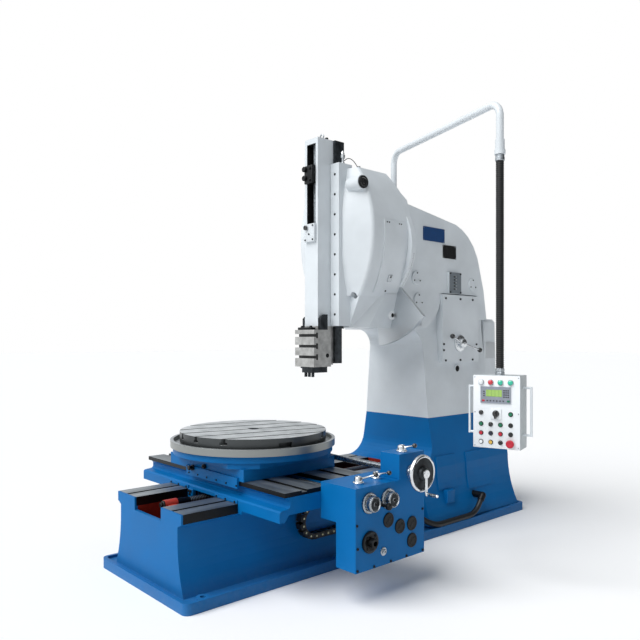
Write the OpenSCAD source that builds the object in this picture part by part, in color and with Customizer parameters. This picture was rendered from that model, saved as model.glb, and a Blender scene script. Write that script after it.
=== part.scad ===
// Slotting machine: base casting, column, ram head, saddle, cross slide, round table and pendant.
// Millimetres. +Z is up, +X points to the feed box side, +Y from the table end to the column.
// The origin is on the floor at the centre of the foot.

/* [Base casting] */
// Width of the foot on the floor
foot_w = 1152; // [1140:2:1240]
// Length of the foot on the floor
foot_l = 3640; // [3600:10:3800]
// Height of the foot plate
foot_h = 70; // [60:1:90]
// Radius of the foot's corners
foot_corner_r = 45; // [20:1:60]
// Width of the raised rim round the foot
rim_w = 24; // [15:1:40]
// Depth of the gutter inside the rim
gutter_d = 18; // [8:1:30]
// Distance from the front of the foot to the front of the bed
bed_setback = 57; // [40:1:90]
// Half width of the bed at its waist
bed_waist = 386; // [370:1:400]
// How far each side of the bed flares out at the foot
bed_flare = 70; // [30:1:100]
// Height where the flare of the bed starts
bed_flare_z = 400; // [300:5:440]
// Height of the bed ways above the floor
way_z = 550; // [540:1:570]
// Width of one bed way
way_w = 251; // [220:1:270]
// Thickness of a way strip
way_t = 60; // [40:1:70]
// Distance between the centre lines of the two bed ways
way_span = 609; // [590:1:630]
// Width of the oil groove along a way
groove_w = 28; // [15:1:40]
// Depth of the oil groove
groove_d = 12; // [5:1:20]
// Height of the wall that closes the trough at the front
trough_lip_z = 466; // [420:1:480]
// Height of the floor of the trough between the ways
trough_floor_z = 340; // [300:5:400]
// Diameter of a foundation bolt hole
anchor_d = 36; // [24:1:44]
// Distance between the two rows of foundation bolts
anchor_span_x = 1056; // [1040:2:1060]
// Distance between neighbouring foundation bolts in a row
anchor_pitch = 1115; // [1000:5:1150]

/* [Column] */
// Height of the parting between the base casting and the column
parting_z = 935; // [900:1:960]
// Half width of the column at the parting
column_half = 365; // [350:1:380]
// Y of the front face of the column
column_front = 650; // [640:1:670]
// Y of the back face of the column shaft
column_back = 1555; // [1520:1:1590]
// Radius of the flare from the column down to the bed
toe_r = 170; // [120:1:190]
// Depth of the box behind the column
rear_depth = 190; // [180:1:195]
// Half width of the upper housing
housing_half = 340; // [325:1:350]
// Half width of the column shaft just under the housing
shaft_half = 285; // [270:1:300]
// Radius of the throat under the head
throat_r = 165; // [120:1:180]
// Thickness of the gear cover on the side of the column
cover_t = 26; // [15:1:40]

/* [Head] */
// Y of the front face of the head
head_front = -190; // [-196:1:-184]
// Y of the seam between the head and the column
head_seam = 350; // [340:1:360]
// Radius of each side of the barrel shaped head
barrel_r = 900; // [890:1:910]
// Half width of the head at its widest place
barrel_half = 436; // [430:1:442]
// Height of the widest place of the head
barrel_z = 2440; // [2430:1:2450]
// Height of the flat underside of the head
head_bottom = 1700; // [1690:1:1710]
// Height of the flat top of the head
head_top = 2960; // [2950:1:2970]
// How far the flat front of the head stays inside the radius of its sides
head_flat = 230; // [220:1:240]
// How far the front of the head leans back from its flat part to its edge
head_lean = 78; // [70:1:84]
// Radius of the rounded front edge of the head
head_edge_r = 35; // [25:1:45]
// Y where the flat top of the head ends and its rear slope starts
head_slope_y = 222; // [210:1:230]
// Diameter of the round tilting flange between head and column
flange_d = 960; // [940:2:970]
// Thickness of the tilting flange
flange_t = 50; // [40:1:56]

/* [Ram] */
// Half width of the ram
ram_half = 78; // [70:1:80]
// Depth of the ram in front of its slide
ram_depth = 164; // [150:1:175]
// Half width of the ram's slide
slide_half = 101; // [95:1:110]
// Thickness of the ram's slide
slide_t = 98; // [90:1:105]
// Height of the ram's top
ram_top = 3190; // [3180:1:3210]
// Length of the white ram body
ram_l = 1480; // [1470:1:1490]
// Length of the ram's slide
slide_l = 1776; // [1770:1:1785]
// Outer half width of the keeper strips
keeper_half = 180; // [170:1:190]
// Thickness of the keeper strips
keeper_t = 33; // [25:1:36]

/* [Tool head] */
// Half width of the tool head
tool_half = 114; // [105:1:120]
// Height of the tool head with its neck
tool_h = 320; // [316:1:324]
// Depth of the tool head in front of the ram's slide
tool_depth = 236; // [232:1:240]
// Width of the mouth of a slot in the tool head
tool_slot = 22; // [16:1:26]

/* [Table] */
// Y of the table's centre
table_y = -916; // [-920:1:-910]
// Height of the table's top
table_z = 950; // [944:1:955]
// How far the table is turned, so that its slots lean from +Y towards +X
table_turn = 14; // [0:1:45]
// Diameter of the slotted table plate
table_d = 1060; // [1040:2:1066]
// Thickness of the slotted table plate
plate_t = 74; // [68:1:78]
// How far the gutter ring stands out from the table plate
gutter_w = 66; // [60:1:70]
// Width of the wall of the gutter ring
ring_w = 22; // [16:1:26]
// Height of the gutter ring
ring_h = 48; // [40:1:52]
// Thickness of the round disc under the gutter ring
disc_t = 44; // [40:1:46]
// Diameter of the bore in the table's centre
centre_bore_d = 80; // [60:1:100]
// Width of the mouth of a T slot in the table
tslot_w = 22; // [18:1:26]
// Width of the wide part of a T slot
tslot_wide = 40; // [34:1:44]
// Distance between neighbouring T slots
tslot_pitch = 190; // [170:1:200]
// Depth of a T slot
tslot_h = 42; // [38:1:46]

/* [Saddle] */
// Half length of the saddle across the bed
saddle_half = 860; // [850:1:870]
// Half width of the saddle along the bed
saddle_depth = 396; // [390:1:400]
// How far the lip stands out from the saddle
lip_t = 41; // [30:1:50]
// Height of the cross ways above the bed ways
cross_h = 133; // [128:1:138]
// Thickness of a cross way strip
cross_t = 28; // [22:1:34]
// Width of one cross way
cross_w = 312; // [300:1:320]
// Reach of the cross slide to the left of the table's centre
slide_left = 498; // [480:1:505]
// Reach of the cross slide to the right of the table's centre
slide_right = 440; // [430:1:450]
// Thickness of the cross slide
cross_slide_t = 116; // [112:1:117]

/* [Feed box] */
// Width of the feed box out from the saddle
box_w = 307; // [300:1:315]
// Depth of the feed box along the bed
box_d = 632; // [620:1:640]
// Height of the feed box
box_h = 501; // [490:1:510]
// Height of the raised part of the feed box
turret_h = 160; // [150:1:170]
// Diameter of the handwheel
wheel_d = 236; // [220:1:240]
// Distance from the handwheel's centre to its crank handle
crank_r = 124; // [110:1:125]

/* [Pendant] */
// Outside diameter of the pendant's pipe
pipe_d = 50; // [42:1:54]
// Bend radius of the pendant's pipe
pipe_bend_r = 95; // [80:1:120]
// Height of the pipe above the floor
arm_z = 3185; // [3170:1:3200]
// Reach of the arm from its swivel to the hanging pipe
arm_reach = 1348; // [1340:2:1370]
// Direction of the arm, measured from +X
arm_turn = -17; // [-20:0.5:-10]
// Width of the control box
panel_w = 310; // [290:2:320]
// Depth of the control box
panel_d = 160; // [120:2:180]
// Height of the control box
panel_h = 478; // [460:1:490]
// Direction that the control box faces, measured from its front
panel_turn = 17; // [0:1:40]

/* [Clearances] */
// Gap between a piece and the seat that it rests on
seat_gap = 0.3; // [0.2:0.1:0.5]

/* [Hidden] */
$fn = 64;

blue = "#2F6FB0";
white = "#DDE3E8";
iron = "#8E8F8D";
steel = "#5A5B5B";
black = "#222326";
chrome = "#C9CDD0";
red_brown = "#9A3524";

over = 1;
bed_front = -foot_l / 2 + bed_setback;
gutter_z = foot_h - gutter_d;
way_in = (way_span - way_w) / 2;
way_out = (way_span + way_w) / 2;
way_under = way_z - way_t;
end_wall = 12;
trough_wall = 23;
flare_h = bed_flare_z - gutter_z;
flare_r = (flare_h * flare_h + bed_flare * bed_flare) / (2 * bed_flare);
bed_end = column_front + 50;
base_back = foot_l / 2 - 60;
base_half = 435;
base_half_z = 520;
base_flare = 105;
base_flare_h = base_half_z - foot_h;
base_flare_r = (base_flare_h * base_flare_h + base_flare * base_flare) / (2 * base_flare);

seam_top = 2738;
housing_bottom = head_bottom - 5;
barrel_offset = barrel_r - barrel_half;
slide_front = head_front + seat_gap;
slide_back = slide_front + slide_t;
keeper_front = head_front - keeper_t;
ram_front = slide_front - ram_depth;
guide_bottom = head_bottom + 11;
guide_top = head_top + 35;
flange_z = 2375;
slide_bottom = ram_top - slide_l;
ram_bottom = ram_top - ram_l;
tool_front = slide_front - tool_depth;
tool_back = slide_front - 57;
tool_top = ram_bottom - seat_gap;
tool_bottom = tool_top - tool_h;

cross_z = way_z + cross_h;
saddle_front = table_y - saddle_depth;
saddle_back = table_y + saddle_depth;
saddle_bottom = way_z + seat_gap;
lip_bottom = way_z - 39;
lip_top = way_z + 32;
box_x0 = saddle_half + seat_gap;
box_x1 = box_x0 + box_w;
box_y0 = table_y - 110;
box_y1 = box_y0 + box_d;
box_top = cross_z + 35;
box_bottom = box_top - box_h;
turret_x0 = box_x1 - 162;
turret_y0 = box_y1 - 243;
turret_z = box_top + turret_h;
ring_d = table_d + 2 * gutter_w;
table_base_z = cross_z + cross_slide_t + 3 * seat_gap;
ring_z = table_base_z + disc_t;
plate_z = table_z - plate_t;
ring_top = ring_z + ring_h;

boss_x = 170;
boss_y = 430;
boss_top = 2852;
pend_x = boss_x + arm_reach * cos(arm_turn);
pend_y = boss_y + arm_reach * sin(arm_turn);
pipe_end = 2932;
sleeve_end = 2832;
conduit_d = 54;
conduit_top = sleeve_end - seat_gap;
panel_top = 1368;
conduit_bottom = panel_top + 46;
wheel_y = -530;
wheel_z = 760;

// Solid between two corners
module block(x0, x1, y0, y1, z0, z1) {
    translate([x0, y0, z0]) cube([x1 - x0, y1 - y0, z1 - z0]);
}

// Round bars along the three axes
module rod_x(x0, x1, y, z, d) {
    translate([x0, y, z]) rotate([0, 90, 0]) cylinder(h = x1 - x0, d = d);
}
module rod_y(x, y0, y1, z, d) {
    translate([x, y1, z]) rotate([90, 0, 0]) cylinder(h = y1 - y0, d = d);
}
module rod_z(x, y, z0, z1, d) {
    translate([x, y, z0]) cylinder(h = z1 - z0, d = d);
}

// A drawn (y, z) outline pulled along X, and a drawn (x, z) outline pulled along Y
module along_x(x0, x1) {
    translate([x0, 0, 0]) rotate([90, 0, 90]) linear_extrude(height = x1 - x0) children();
}
module along_y(y0, y1) {
    translate([0, y1, 0]) rotate([90, 0, 0]) linear_extrude(height = y1 - y0) children();
}

// Rectangle with round corners, centred
module round_rect(w, l, r) {
    square([w - 2 * r, l], center = true);
    square([w, l - 2 * r], center = true);
    for (x = [-1, 1], y = [-1, 1]) translate([x * (w / 2 - r), y * (l / 2 - r)]) circle(r = r);
}

// Points of an arc from angle a0 to a1
function arc(cx, cy, r, a0, a1, n) =
    [for (i = [0:n]) let (a = a0 + (a1 - a0) * i / n) [cx + r * cos(a), cy + r * sin(a)]];

// An outline given by its right side, closed by its mirror image
function mirrored(right) = concat(right, [for (i = [len(right) - 1:-1:0]) [-right[i][0], right[i][1]]]);

// Concave side that is vertical at height z1 and stands out by flare at height z0
function flared_side(x, z0, z1, r, n) =
    [for (i = [0:n]) let (z = z0 + (z1 - z0) * i / n) [x + r - sqrt(r * r - pow(z1 - z, 2)), z]];

module bed_outline(grow = 0) {
    shoulder = way_under - 22;
    polygon(mirrored(concat(flared_side(bed_waist + grow, gutter_z, bed_flare_z, flare_r, 7),
        [[bed_waist + grow, shoulder], [way_out + grow, way_under]])));
}

module column_base_front(grow = 0) {
    side = flared_side(base_half + grow, foot_h, base_half_z, base_flare_r, 7);
    polygon(mirrored(concat(side, [[column_half + grow, parting_z]])));
}

module column_base_side() {
    toe_y = column_front - toe_r;
    polygon(concat([[toe_y, foot_h], [toe_y, way_z]], arc(toe_y, way_z + toe_r, toe_r, -90, 0, 8),
        [[column_front, parting_z], [base_back - 5, parting_z], [base_back + 5, foot_h]]));
}

module base() {
    color(blue) difference() {
        union() {
            difference() {
                linear_extrude(height = foot_h) round_rect(foot_w, foot_l, foot_corner_r);
                translate([0, 0, gutter_z]) linear_extrude(height = gutter_d + over)
                    round_rect(foot_w - 2 * rim_w, foot_l - 2 * rim_w, foot_corner_r - rim_w / 2);
            }
            for (i = [-1.5:1.5], s = [-1, 1]) intersection() {
                rod_z(s * anchor_span_x / 2, i * anchor_pitch, 0, foot_h, 2.4 * anchor_d);
                linear_extrude(height = foot_h) round_rect(foot_w, foot_l, foot_corner_r);
            }
            along_y(bed_front, bed_end) bed_outline();
            for (s = [-1, 1]) translate([s * way_span / 2, 0, 0])
                block(-way_w / 2, way_w / 2, bed_front, bed_front + end_wall, way_under - over, way_z);
            intersection() {
                along_x(-foot_w / 2, foot_w / 2) column_base_side();
                along_y(0, foot_l / 2) column_base_front();
            }
            intersection() {
                along_y(0, foot_l / 2) column_base_front(grow = 9);
                union() {
                    block(0, foot_w / 2, 668, 930, 330, 612);
                    block(0, foot_w / 2, 1084, 1440, 285, 606);
                }
            }
        }
        block(-way_in, way_in, bed_front - over, bed_front + trough_wall + over, trough_lip_z, way_z + over);
        block(-way_in, way_in, bed_front + trough_wall, column_front - toe_r, trough_floor_z, way_z + over);
        for (i = [-1.5:1.5], s = [-1, 1])
            rod_z(s * anchor_span_x / 2, i * anchor_pitch, -over, foot_h + over, anchor_d);
    }
}

module bed_ways() {
    y1 = column_front - toe_r;
    color(steel) for (s = [-1, 1]) translate([s * way_span / 2, 0, 0]) difference() {
        block(-way_w / 2, way_w / 2, bed_front + end_wall, y1, way_under, way_z);
        block(-groove_w / 2, groove_w / 2, bed_front, y1 + over, way_z - groove_d, way_z + over);
    }
}

screw_y = bed_front + 211;
screw_z = 514;

module feed_screw() {
    color(black) {
        rod_y(0, screw_y + seat_gap, column_front - toe_r, screw_z, 44);
    }
}

module screw_coupling() {
    color(red_brown) union() {
        rod_y(0, screw_y - 92, screw_y, screw_z, 60);
        block(-60, 60, screw_y - 78, screw_y - 18, trough_floor_z, screw_z);
    }
}

module shaft_outline() {
    polygon(mirrored([[column_half, parting_z], [shaft_half + 12, head_bottom], [shaft_half, 2060]]));
}

module shaft_side() {
    throat_y = column_front - 8 - throat_r;
    polygon(concat([[column_front, parting_z], [column_front - 8, housing_bottom - throat_r]],
        arc(throat_y, housing_bottom - throat_r, throat_r, 0, 90, 8),
        [[head_seam, housing_bottom], [head_seam, 2060], [column_back - 40, 2060], [column_back,
            parting_z]]));
}

module housing_side() {
    polygon(concat([[head_seam, housing_bottom], [540, housing_bottom]], arc(540, 2010, 315, -90, -6, 8),
        [[870, 2010], [1393, 2010], [1393, 1790], [column_back - 7, 1790]],
        [[1500, 2060], [1444, 2236], [1404, 2358], [1340, 2460], [1255, 2543], [1165, 2598], [1074, 2632]],
        [[head_seam, seam_top]]));
}

module column() {
    color(white) union() {
        intersection() {
            along_x(-column_half, column_half) shaft_side();
            along_y(0, foot_l / 2) shaft_outline();
        }
        along_x(-housing_half, housing_half) housing_side();
    }
}

module rear_housing() {
    color(white) along_y(column_back + seat_gap, column_back + rear_depth)
        polygon(mirrored([[318, parting_z + seat_gap], [300, 1770], [270, 1800]]));
}

gear_x = housing_half + seat_gap;
module side_covers() {
    color(white) {
        gear_cover();
        vent_box();
    }
}

module gear_cover() {
    difference() {
        along_x(shaft_half, gear_x + cover_t)
            polygon([[845, 1404], [1383, 1404], [1383, 2000], [845, 2000]]);
        along_y(0, foot_l / 2) offset_shaft();
        block(0, gear_x, 800, 1400, 1995, 2020);
        block(0, gear_x, 800, 876, 1925, 2020);
    }
}

module offset_shaft() {
    g = seat_gap;
    polygon(mirrored([[column_half + g, parting_z], [shaft_half + 12 + g, head_bottom], [shaft_half + g,
        2060]]));
}

vent_top = 2156;
vent_pitch = 27.2;
module vent_box() {
    difference() {
        block(gear_x, gear_x + 25, 941, 1115, 2010, 2202);
        for (i = [0:4]) translate([gear_x + 10, 1004, vent_top - vent_pitch * i]) cube([30, 46, 14]);
    }
}

// One side of the barrel: a disc along Y with a rounded front edge
module barrel_disc(s) {
    l = head_seam - head_front;
    translate([s * barrel_offset, head_front, barrel_z]) rotate([-90, 0, 0]) rotate_extrude($fn = 180)
        polygon(concat([[0, 0], [barrel_r - head_flat, 0]],
            arc(barrel_r - head_edge_r, head_lean + head_edge_r, head_edge_r, -60, 0, 4),
            [[barrel_r, l], [0, l]]));
}

gauge_x = 358;
gauge_y = -140;
gauge_z = 2820;

// What the rear slope takes off the top of the head
module head_slope() {
    polygon([[head_slope_y, head_top + over], [head_slope_y, head_top], [300, 2800],
        [head_seam + over, seam_top + 7], [head_seam + over, head_top + over]]);
}

skirt_z = 1950;
skirt_half = 166;
skirt_top_half = 286;

// Lower part of the head, which widens towards the seam
module head_skirt() {
    skirt_front = head_front + 90;
    along_y(skirt_front, head_seam)
        polygon(mirrored([[skirt_half, head_bottom], [skirt_top_half, skirt_z]]));
    intersection() {
        along_y(skirt_front, head_seam) polygon(mirrored([[240, head_bottom], [322, 2003]]));
        linear_extrude(height = skirt_z + 25)
            polygon(mirrored([[skirt_half - 16, skirt_front], [330, 200], [330, head_seam]]));
    }
}

module head() {
    channel = slide_half + seat_gap;
    color(white) difference() {
        union() {
            intersection() {
                barrel_disc(-1);
                barrel_disc(1);
                block(-barrel_r, barrel_r, head_front - over, head_seam, skirt_z - over, head_top);
            }
            head_skirt();
            block(-keeper_half, keeper_half, head_front, head_front + 110, guide_bottom, guide_top);
            rod_x(220, gauge_x, gauge_y, gauge_z, 108);
            rod_y(0, head_seam - flange_t, head_seam, flange_z, flange_d, $fn = 128);
        }
        block(-channel, channel, head_front - over, slide_back + seat_gap, head_bottom - over,
            guide_top + over);
        rod_y(237, head_front - over, head_front + 150, 1952, 50);
        along_x(-barrel_r, barrel_r) head_slope();
    }
}

module keepers() {
    inner = ram_half + 4;
    middle = (keeper_half + inner) / 2;
    screw_pitch = 158;
    color(white) for (s = [0, 1]) mirror([s, 0, 0]) difference() {
        block(inner, keeper_half, keeper_front, head_front, guide_bottom, guide_top);
        for (i = [0:7])
            rod_y(middle, keeper_front - over, keeper_front + 14, guide_bottom + 91 + screw_pitch * i, 22);
    }
}

module head_cover() {
    color(white) intersection() {
        difference() {
            rod_y(-barrel_offset, 0, 300, barrel_z, 2 * barrel_r + 16, $fn = 180);
            rod_y(-barrel_offset, -over, 300 + over, barrel_z, 2 * (barrel_r + seat_gap), $fn = 180);
        }
        block(0, 700, 20, 268, 1980, 2545);
    }
}

module oil_gauge() {
    color(black) rod_x(gauge_x + seat_gap, gauge_x + 20, gauge_y, gauge_z, 98);
}

module pendant_boss() {
    base_z = seam_top - 12;
    color(white) difference() {
        union() {
            rod_z(boss_x, boss_y, base_z, boss_top - 46, 110);
            rod_z(boss_x, boss_y, boss_top - 46, boss_top, 84);
        }
        along_x(0, housing_half) translate([0, seat_gap]) housing_side();
        rod_z(boss_x, boss_y, boss_top - 60, boss_top + over, pipe_d + 0.1);
    }
}

// Half width of the bed at height z
function bed_half(z) = bed_waist + flare_r - sqrt(flare_r * flare_r - pow(bed_flare_z - z, 2));

chain_low = 205;
chain_r = 110;
chain_y = -723;
chain_end = 180;
chain_w = 62;
link_h = 44;
chain_x = bed_half(chain_low) + seat_gap;
module cable_chain() {
    x1 = chain_x + chain_w;
    mid = chain_low + link_h / 2 + chain_r;
    color(black) difference() {
        union() {
            block(chain_x, x1, chain_y, chain_end, chain_low, chain_low + link_h);
            block(chain_x, x1, chain_y, -430, mid + chain_r - link_h / 2, mid + chain_r + link_h / 2);
            rod_x(chain_x, x1, chain_y, mid, 2 * chain_r + link_h);
        }
        rod_x(chain_x - over, x1 + over, chain_y, mid, 2 * chain_r - link_h);
        block(chain_x - over, x1 + over, chain_y, 300, mid - chain_r + link_h / 2,
            mid + chain_r - link_h / 2);
    }
}

// Elbow at the column's foot and the gland where the hose ends at the cable chain
module hose_gland() {
    color(steel) {
        difference() {
            union() {
                rod_x(450, hose_x, elbow_y, elbow_z, 60);
                translate([hose_x, elbow_y, elbow_z]) sphere(d = 62);
                translate([hose_x, elbow_y, elbow_z]) rotate([elbow_turn, 0, 0]) cylinder(h = elbow_l,
                    d = 60);
            }
            along_y(1000, 1300) column_base_front(grow = seat_gap);
        }
        rod_y(chain_x + chain_w / 2, chain_end + seat_gap, gland_y, chain_low + link_h / 2, 60);
    }
}

// Route of the hose: straight out of its elbow, down to the foot's rim, along it, and up to the chain's end
hose_d = 46;
hose_x = 566;
elbow_y = 1150;
elbow_z = 235;
elbow_turn = 143.13;
elbow_l = 46;
gland_y = chain_end + 26;
hose_route = [
    [566, 1122.2, 198], [566, 1101, 169.6], [566, 1077.3, 143.5], [566, 1049.3, 122.3],
    [566, 1017.8, 106.5], [566, 984, 96.9], [566, 949, 93.6], [566, 853.2, 93.6],
    [566, 757.5, 93.6], [566, 661.7, 93.6], [566, 566, 93.6], [563.3, 524.3, 96.5],
    [555.1, 484, 105], [542, 446.8, 118.8], [524.1, 413.7, 137.5], [502.4, 386.2, 160.3],
    [480.6, 358.6, 183.1], [462.7, 325.5, 201.8], [449.6, 288.3, 215.6], [438.7, 248, 227],
    [438.7, 206.3, 227]
];

function unit(v) = v / norm(v);
function way_at(i) = unit(hose_route[min(i + 1, len(hose_route) - 1)] - hose_route[max(i - 1, 0)]);
function side_at(i) = let (t = way_at(i)) unit(cross(t, [0.2, 0.1, 1]));
function hose_ring(i, n) = let (t = way_at(i), a = side_at(i), b = cross(a, t))
    [for (k = [0:n - 1]) hose_route[i] + hose_d / 2 * (cos(360 * k / n) * a + sin(360 * k / n) * b)];

module hose() {
    n = 12;
    m = len(hose_route);
    points = [for (i = [0:m - 1]) each hose_ring(i, n)];
    sides = [for (i = [0:m - 2], k = [0:n - 1]) let (j = (k + 1) % n)
        [i * n + k, i * n + j, (i + 1) * n + j, (i + 1) * n + k]];
    ends = [[for (k = [n - 1:-1:0]) k], [for (k = [0:n - 1]) (m - 1) * n + k]];
    color(black) polyhedron(points = points, faces = concat(sides, ends));
}

module gear_lever() {
    x0 = gear_x + cover_t + seat_gap;
    color(chrome) translate([x0, 1085, 1571]) {
        rotate([0, 90, 0]) cylinder(h = 30, d = 150);
        rotate([0, 90, 0]) cylinder(h = 58, d = 84);
        for (a = [-17, 163]) rotate([a, 0, 0]) translate([38, 20, 0]) rotate([-90, 0, 0])
            rotate([0, 12, 0]) {
                cylinder(h = 184, d = 14);
                translate([0, 0, 196]) sphere(d = 44);
            }
    }
}

module ram_slide() {
    thin_back = slide_back - 24;
    color(steel) union() {
        block(-slide_half, slide_half, slide_front, thin_back, slide_bottom, ram_top);
        block(-slide_half, slide_half, thin_back - over, slide_back, head_bottom - 8, ram_top);
    }
}

clamp_z = 2832;
slot_half = 52;
slot_top = ram_top - 42;
slot_bottom = ram_top - 670;
module ram_body() {
    color(white) difference() {
        block(-ram_half, ram_half, ram_front, slide_front - seat_gap, ram_bottom, ram_top);
        block(-slot_half, slot_half, ram_front - over, ram_front + 96, slot_bottom, slot_top);
    }
}

module stroke_screw() {
    color(iron) rod_z(0, ram_front + 48, slot_bottom + seat_gap, slot_top - seat_gap, 38);
}

module stroke_clamp() {
    color(black) difference() {
        union() {
            block(-slot_half + 1, slot_half - 1, ram_front - 34, ram_front + 90, clamp_z, clamp_z + 142);
            for (z = [46, 116]) rod_y(-40, ram_front - 50, ram_front - 34, clamp_z + z, 44);
        }
        rod_z(0, ram_front + 48, 2800, 3000, 38 + 2 * seat_gap);
    }
}

module ram_plate() {
    color(white) union() {
        block(-60, 60, ram_front - 24, ram_front - seat_gap, slot_bottom - 146, slot_bottom - 4);
        rod_y(-30, ram_front - 44, ram_front - 24, slot_bottom - 34, 40);
    }
}

module tool_head() {
    slot_pitch = 84;
    neck_h = 30;
    color(iron) difference() {
        union() {
            block(-tool_half, tool_half, tool_front, tool_back, tool_bottom, tool_top - neck_h);
            block(-ram_half, ram_half, ram_front, slide_front - seat_gap, tool_bottom + 14, tool_top);
        }
        for (i = [0:2]) {
            z = tool_bottom + 78 + slot_pitch * i;
            block(-tool_half - over, tool_half + over, tool_front - over, tool_front + 24,
                z - tool_slot / 2, z + tool_slot / 2);
            block(-tool_half - over, tool_half + over, tool_front + 22, tool_front + 42, z - tool_slot,
                z + tool_slot);
        }
    }
}

module tool_clamp() {
    z1 = tool_bottom - seat_gap;
    color(black) difference() {
        union() {
            block(-70, 70, tool_front + 20, tool_back, z1 - 46, z1);
            for (x = [-42, 0, 42]) rod_z(x, tool_front + 52, z1 - 80, z1 - 46, 24);
        }
        block(-over - 70, -52, tool_front, tool_front + 60, z1 - 50, z1 - 12);
    }
}

module saddle_side() {
    f = saddle_depth;
    web = f - 40;
    top = cross_z - cross_t;
    right = [[f - 30, saddle_bottom], [f, lip_bottom], [f + lip_t, lip_bottom], [f + lip_t, lip_top - 10],
        [f + lip_t - 10, lip_top], [web + 12, lip_top + 6], [web, lip_top + 18], [web, top - 24],
        [web + 12, top - 8], [f, top]];
    polygon(mirrored(right));
}

cross_trough_z = cross_z - 100;
spline_y = saddle_back + 55;
spline_z = cross_z + 57;
spline_d = 40;

module saddle() {
    keeper_x = way_out + seat_gap;
    color(blue) difference() {
        union() {
            difference() {
                union() {
                    block(-saddle_half + 20, -saddle_half + 80, saddle_back - 50, spline_y + 30,
                        lip_top - 10, cross_z - cross_t);
                    block(-saddle_half + 20, -saddle_half + 80, spline_y - 25, spline_y + 30,
                        lip_top - 10, spline_z + 32);
                }
                rod_x(-saddle_half, -saddle_half + 90, spline_y, spline_z, spline_d + 2 * seat_gap);
            }
            translate([0, table_y, 0]) along_x(-saddle_half, saddle_half) saddle_side();
            for (s = [-1, 1]) translate([s * (keeper_x + 20), 0, 0])
                block(-20, 20, saddle_front - lip_t, saddle_back + lip_t, way_under - 1,
                    saddle_bottom + over);
            for (s = [-1, 1]) translate([s * (way_in - 26), 0, 0])
                block(-24, 24, saddle_front - lip_t + 20, saddle_front + 60, way_under - 1,
                    saddle_bottom + over);
        }
        for (y = [saddle_front - lip_t - over, saddle_back - 31])
            block(-keeper_x, keeper_x, y, y + lip_t + 32, way_under - 2, saddle_bottom);
        block(-saddle_half - over, saddle_half + over, saddle_front + cross_w, saddle_back - cross_w,
            cross_trough_z, cross_z + over);
    }
}

module cross_ways() {
    middle = (saddle_depth - cross_w / 2);
    g = 22;
    color(steel) for (s = [-1, 1]) translate([0, table_y + s * middle, 0]) difference() {
        block(-saddle_half + 4, saddle_half - 4, -cross_w / 2, cross_w / 2, cross_z - cross_t + seat_gap,
            cross_z);
        block(-saddle_half, saddle_half, -g, g, cross_z - groove_d, cross_z + over);
    }
}

module cross_screw() {
    z = cross_trough_z + 55;
    color(red_brown) union() {
        rod_x(-saddle_half + 30, saddle_half, table_y, z, 42);
        rod_x(520, saddle_half, table_y, z, 60);
        block(-saddle_half + 24, -saddle_half + 84, table_y - 45, table_y + 45,
            cross_trough_z + seat_gap, z + 34);
    }
}

module feed_box() {
    step_x = box_x0 + 138;
    step_z = box_top - 228;
    color(blue) union() {
        block(box_x0, box_x1, box_y0, box_y1, step_z, box_top);
        block(step_x, box_x1, box_y0, box_y1, box_bottom, box_top);
        block(turret_x0, box_x1, turret_y0, box_y1, box_top - over, turret_z);
    }
}

// Round caps, the socket for a loose crank and the index knob on the outer face of the feed box
module box_fittings() {
    color(black) {
        for (p = [[-741, 486], [-634, 428], [-519, 426], [-519, 318]])
            rod_x(box_x1, box_x1 + 8, p[0], p[1], 92);
        rod_x(box_x1, box_x1 + 16, -908, 384, 132);
        rod_x(box_x1, box_x1 + 50, -908, 384, 56);
        rod_x(box_x1, box_x1 + 70, -829, 600, 22);
        rod_x(box_x1 + 70, box_x1 + 100, -829, 600, 44);
    }
}

module spline_shaft() {
    color(iron) rod_x(-saddle_half + 30, turret_x0 - seat_gap, spline_y, spline_z, spline_d);
}

module dial(y) {
    x0 = box_x1 + seat_gap;
    color(iron) {
        rod_x(x0, x0 + 18, y, 620, 128);
        rod_x(x0, x0 + 60, y, 620, 98);
    }
}

module handwheel() {
    x0 = box_x1 + seat_gap;
    color(iron) difference() {
        union() {
            rod_x(x0, x0 + 80, wheel_y, wheel_z, 96);
            rod_x(x0 + 80, x0 + 108, wheel_y, wheel_z, wheel_d);
            rod_x(x0 + 100, x0 + 136, wheel_y, wheel_z, 60);
            along_x(x0 + 118, x0 + 134) translate([wheel_y, wheel_z]) {
                translate([0, -crank_r / 2]) square([24, crank_r], center = true);
                translate([0, -crank_r]) circle(d = 24);
            }
            rod_x(x0 + 132, x0 + 218, wheel_y, wheel_z - crank_r, 22);
        }
        translate([x0 + 94, 0, 0]) along_x(0, 30) translate([wheel_y, wheel_z]) difference() {
            circle(d = wheel_d - 36);
            circle(d = 96);
        }
    }
}

module lever(x, y, z, turn, l) {
    color(chrome) translate([x, y, z + seat_gap]) rotate([0, 0, turn]) {
        cylinder(h = 14, d = 72);
        cylinder(h = 46, d = 52);
        translate([16, 0, 30]) rotate([0, 76, 0]) cylinder(h = l - 20, d = 12);
        translate([l, 0, 30 + (l - 16) * 0.25]) sphere(d = 30);
    }
}

strip_t = 17;
module cross_slide() {
    y0 = table_y - saddle_depth - 18;
    y1 = table_y + saddle_depth + 18;
    z0 = cross_z + seat_gap;
    z1 = cross_z + cross_slide_t;
    color(blue) union() {
        block(-slide_left, slide_right, y0 + strip_t - 3, y1 - strip_t + 3, z0, z1 - 36);
        intersection() {
            rod_z(0, table_y, z1 - 37, z1, ring_d - 60);
            block(-slide_left - 40, slide_right + 40, y0 - 40, y1 + 40, z0, z1 + over);
        }
        for (y = [y0, y1 - strip_t]) block(-250, slide_right - 54, y, y + strip_t, z0 - 48, z0 + 22);
    }
}

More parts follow.
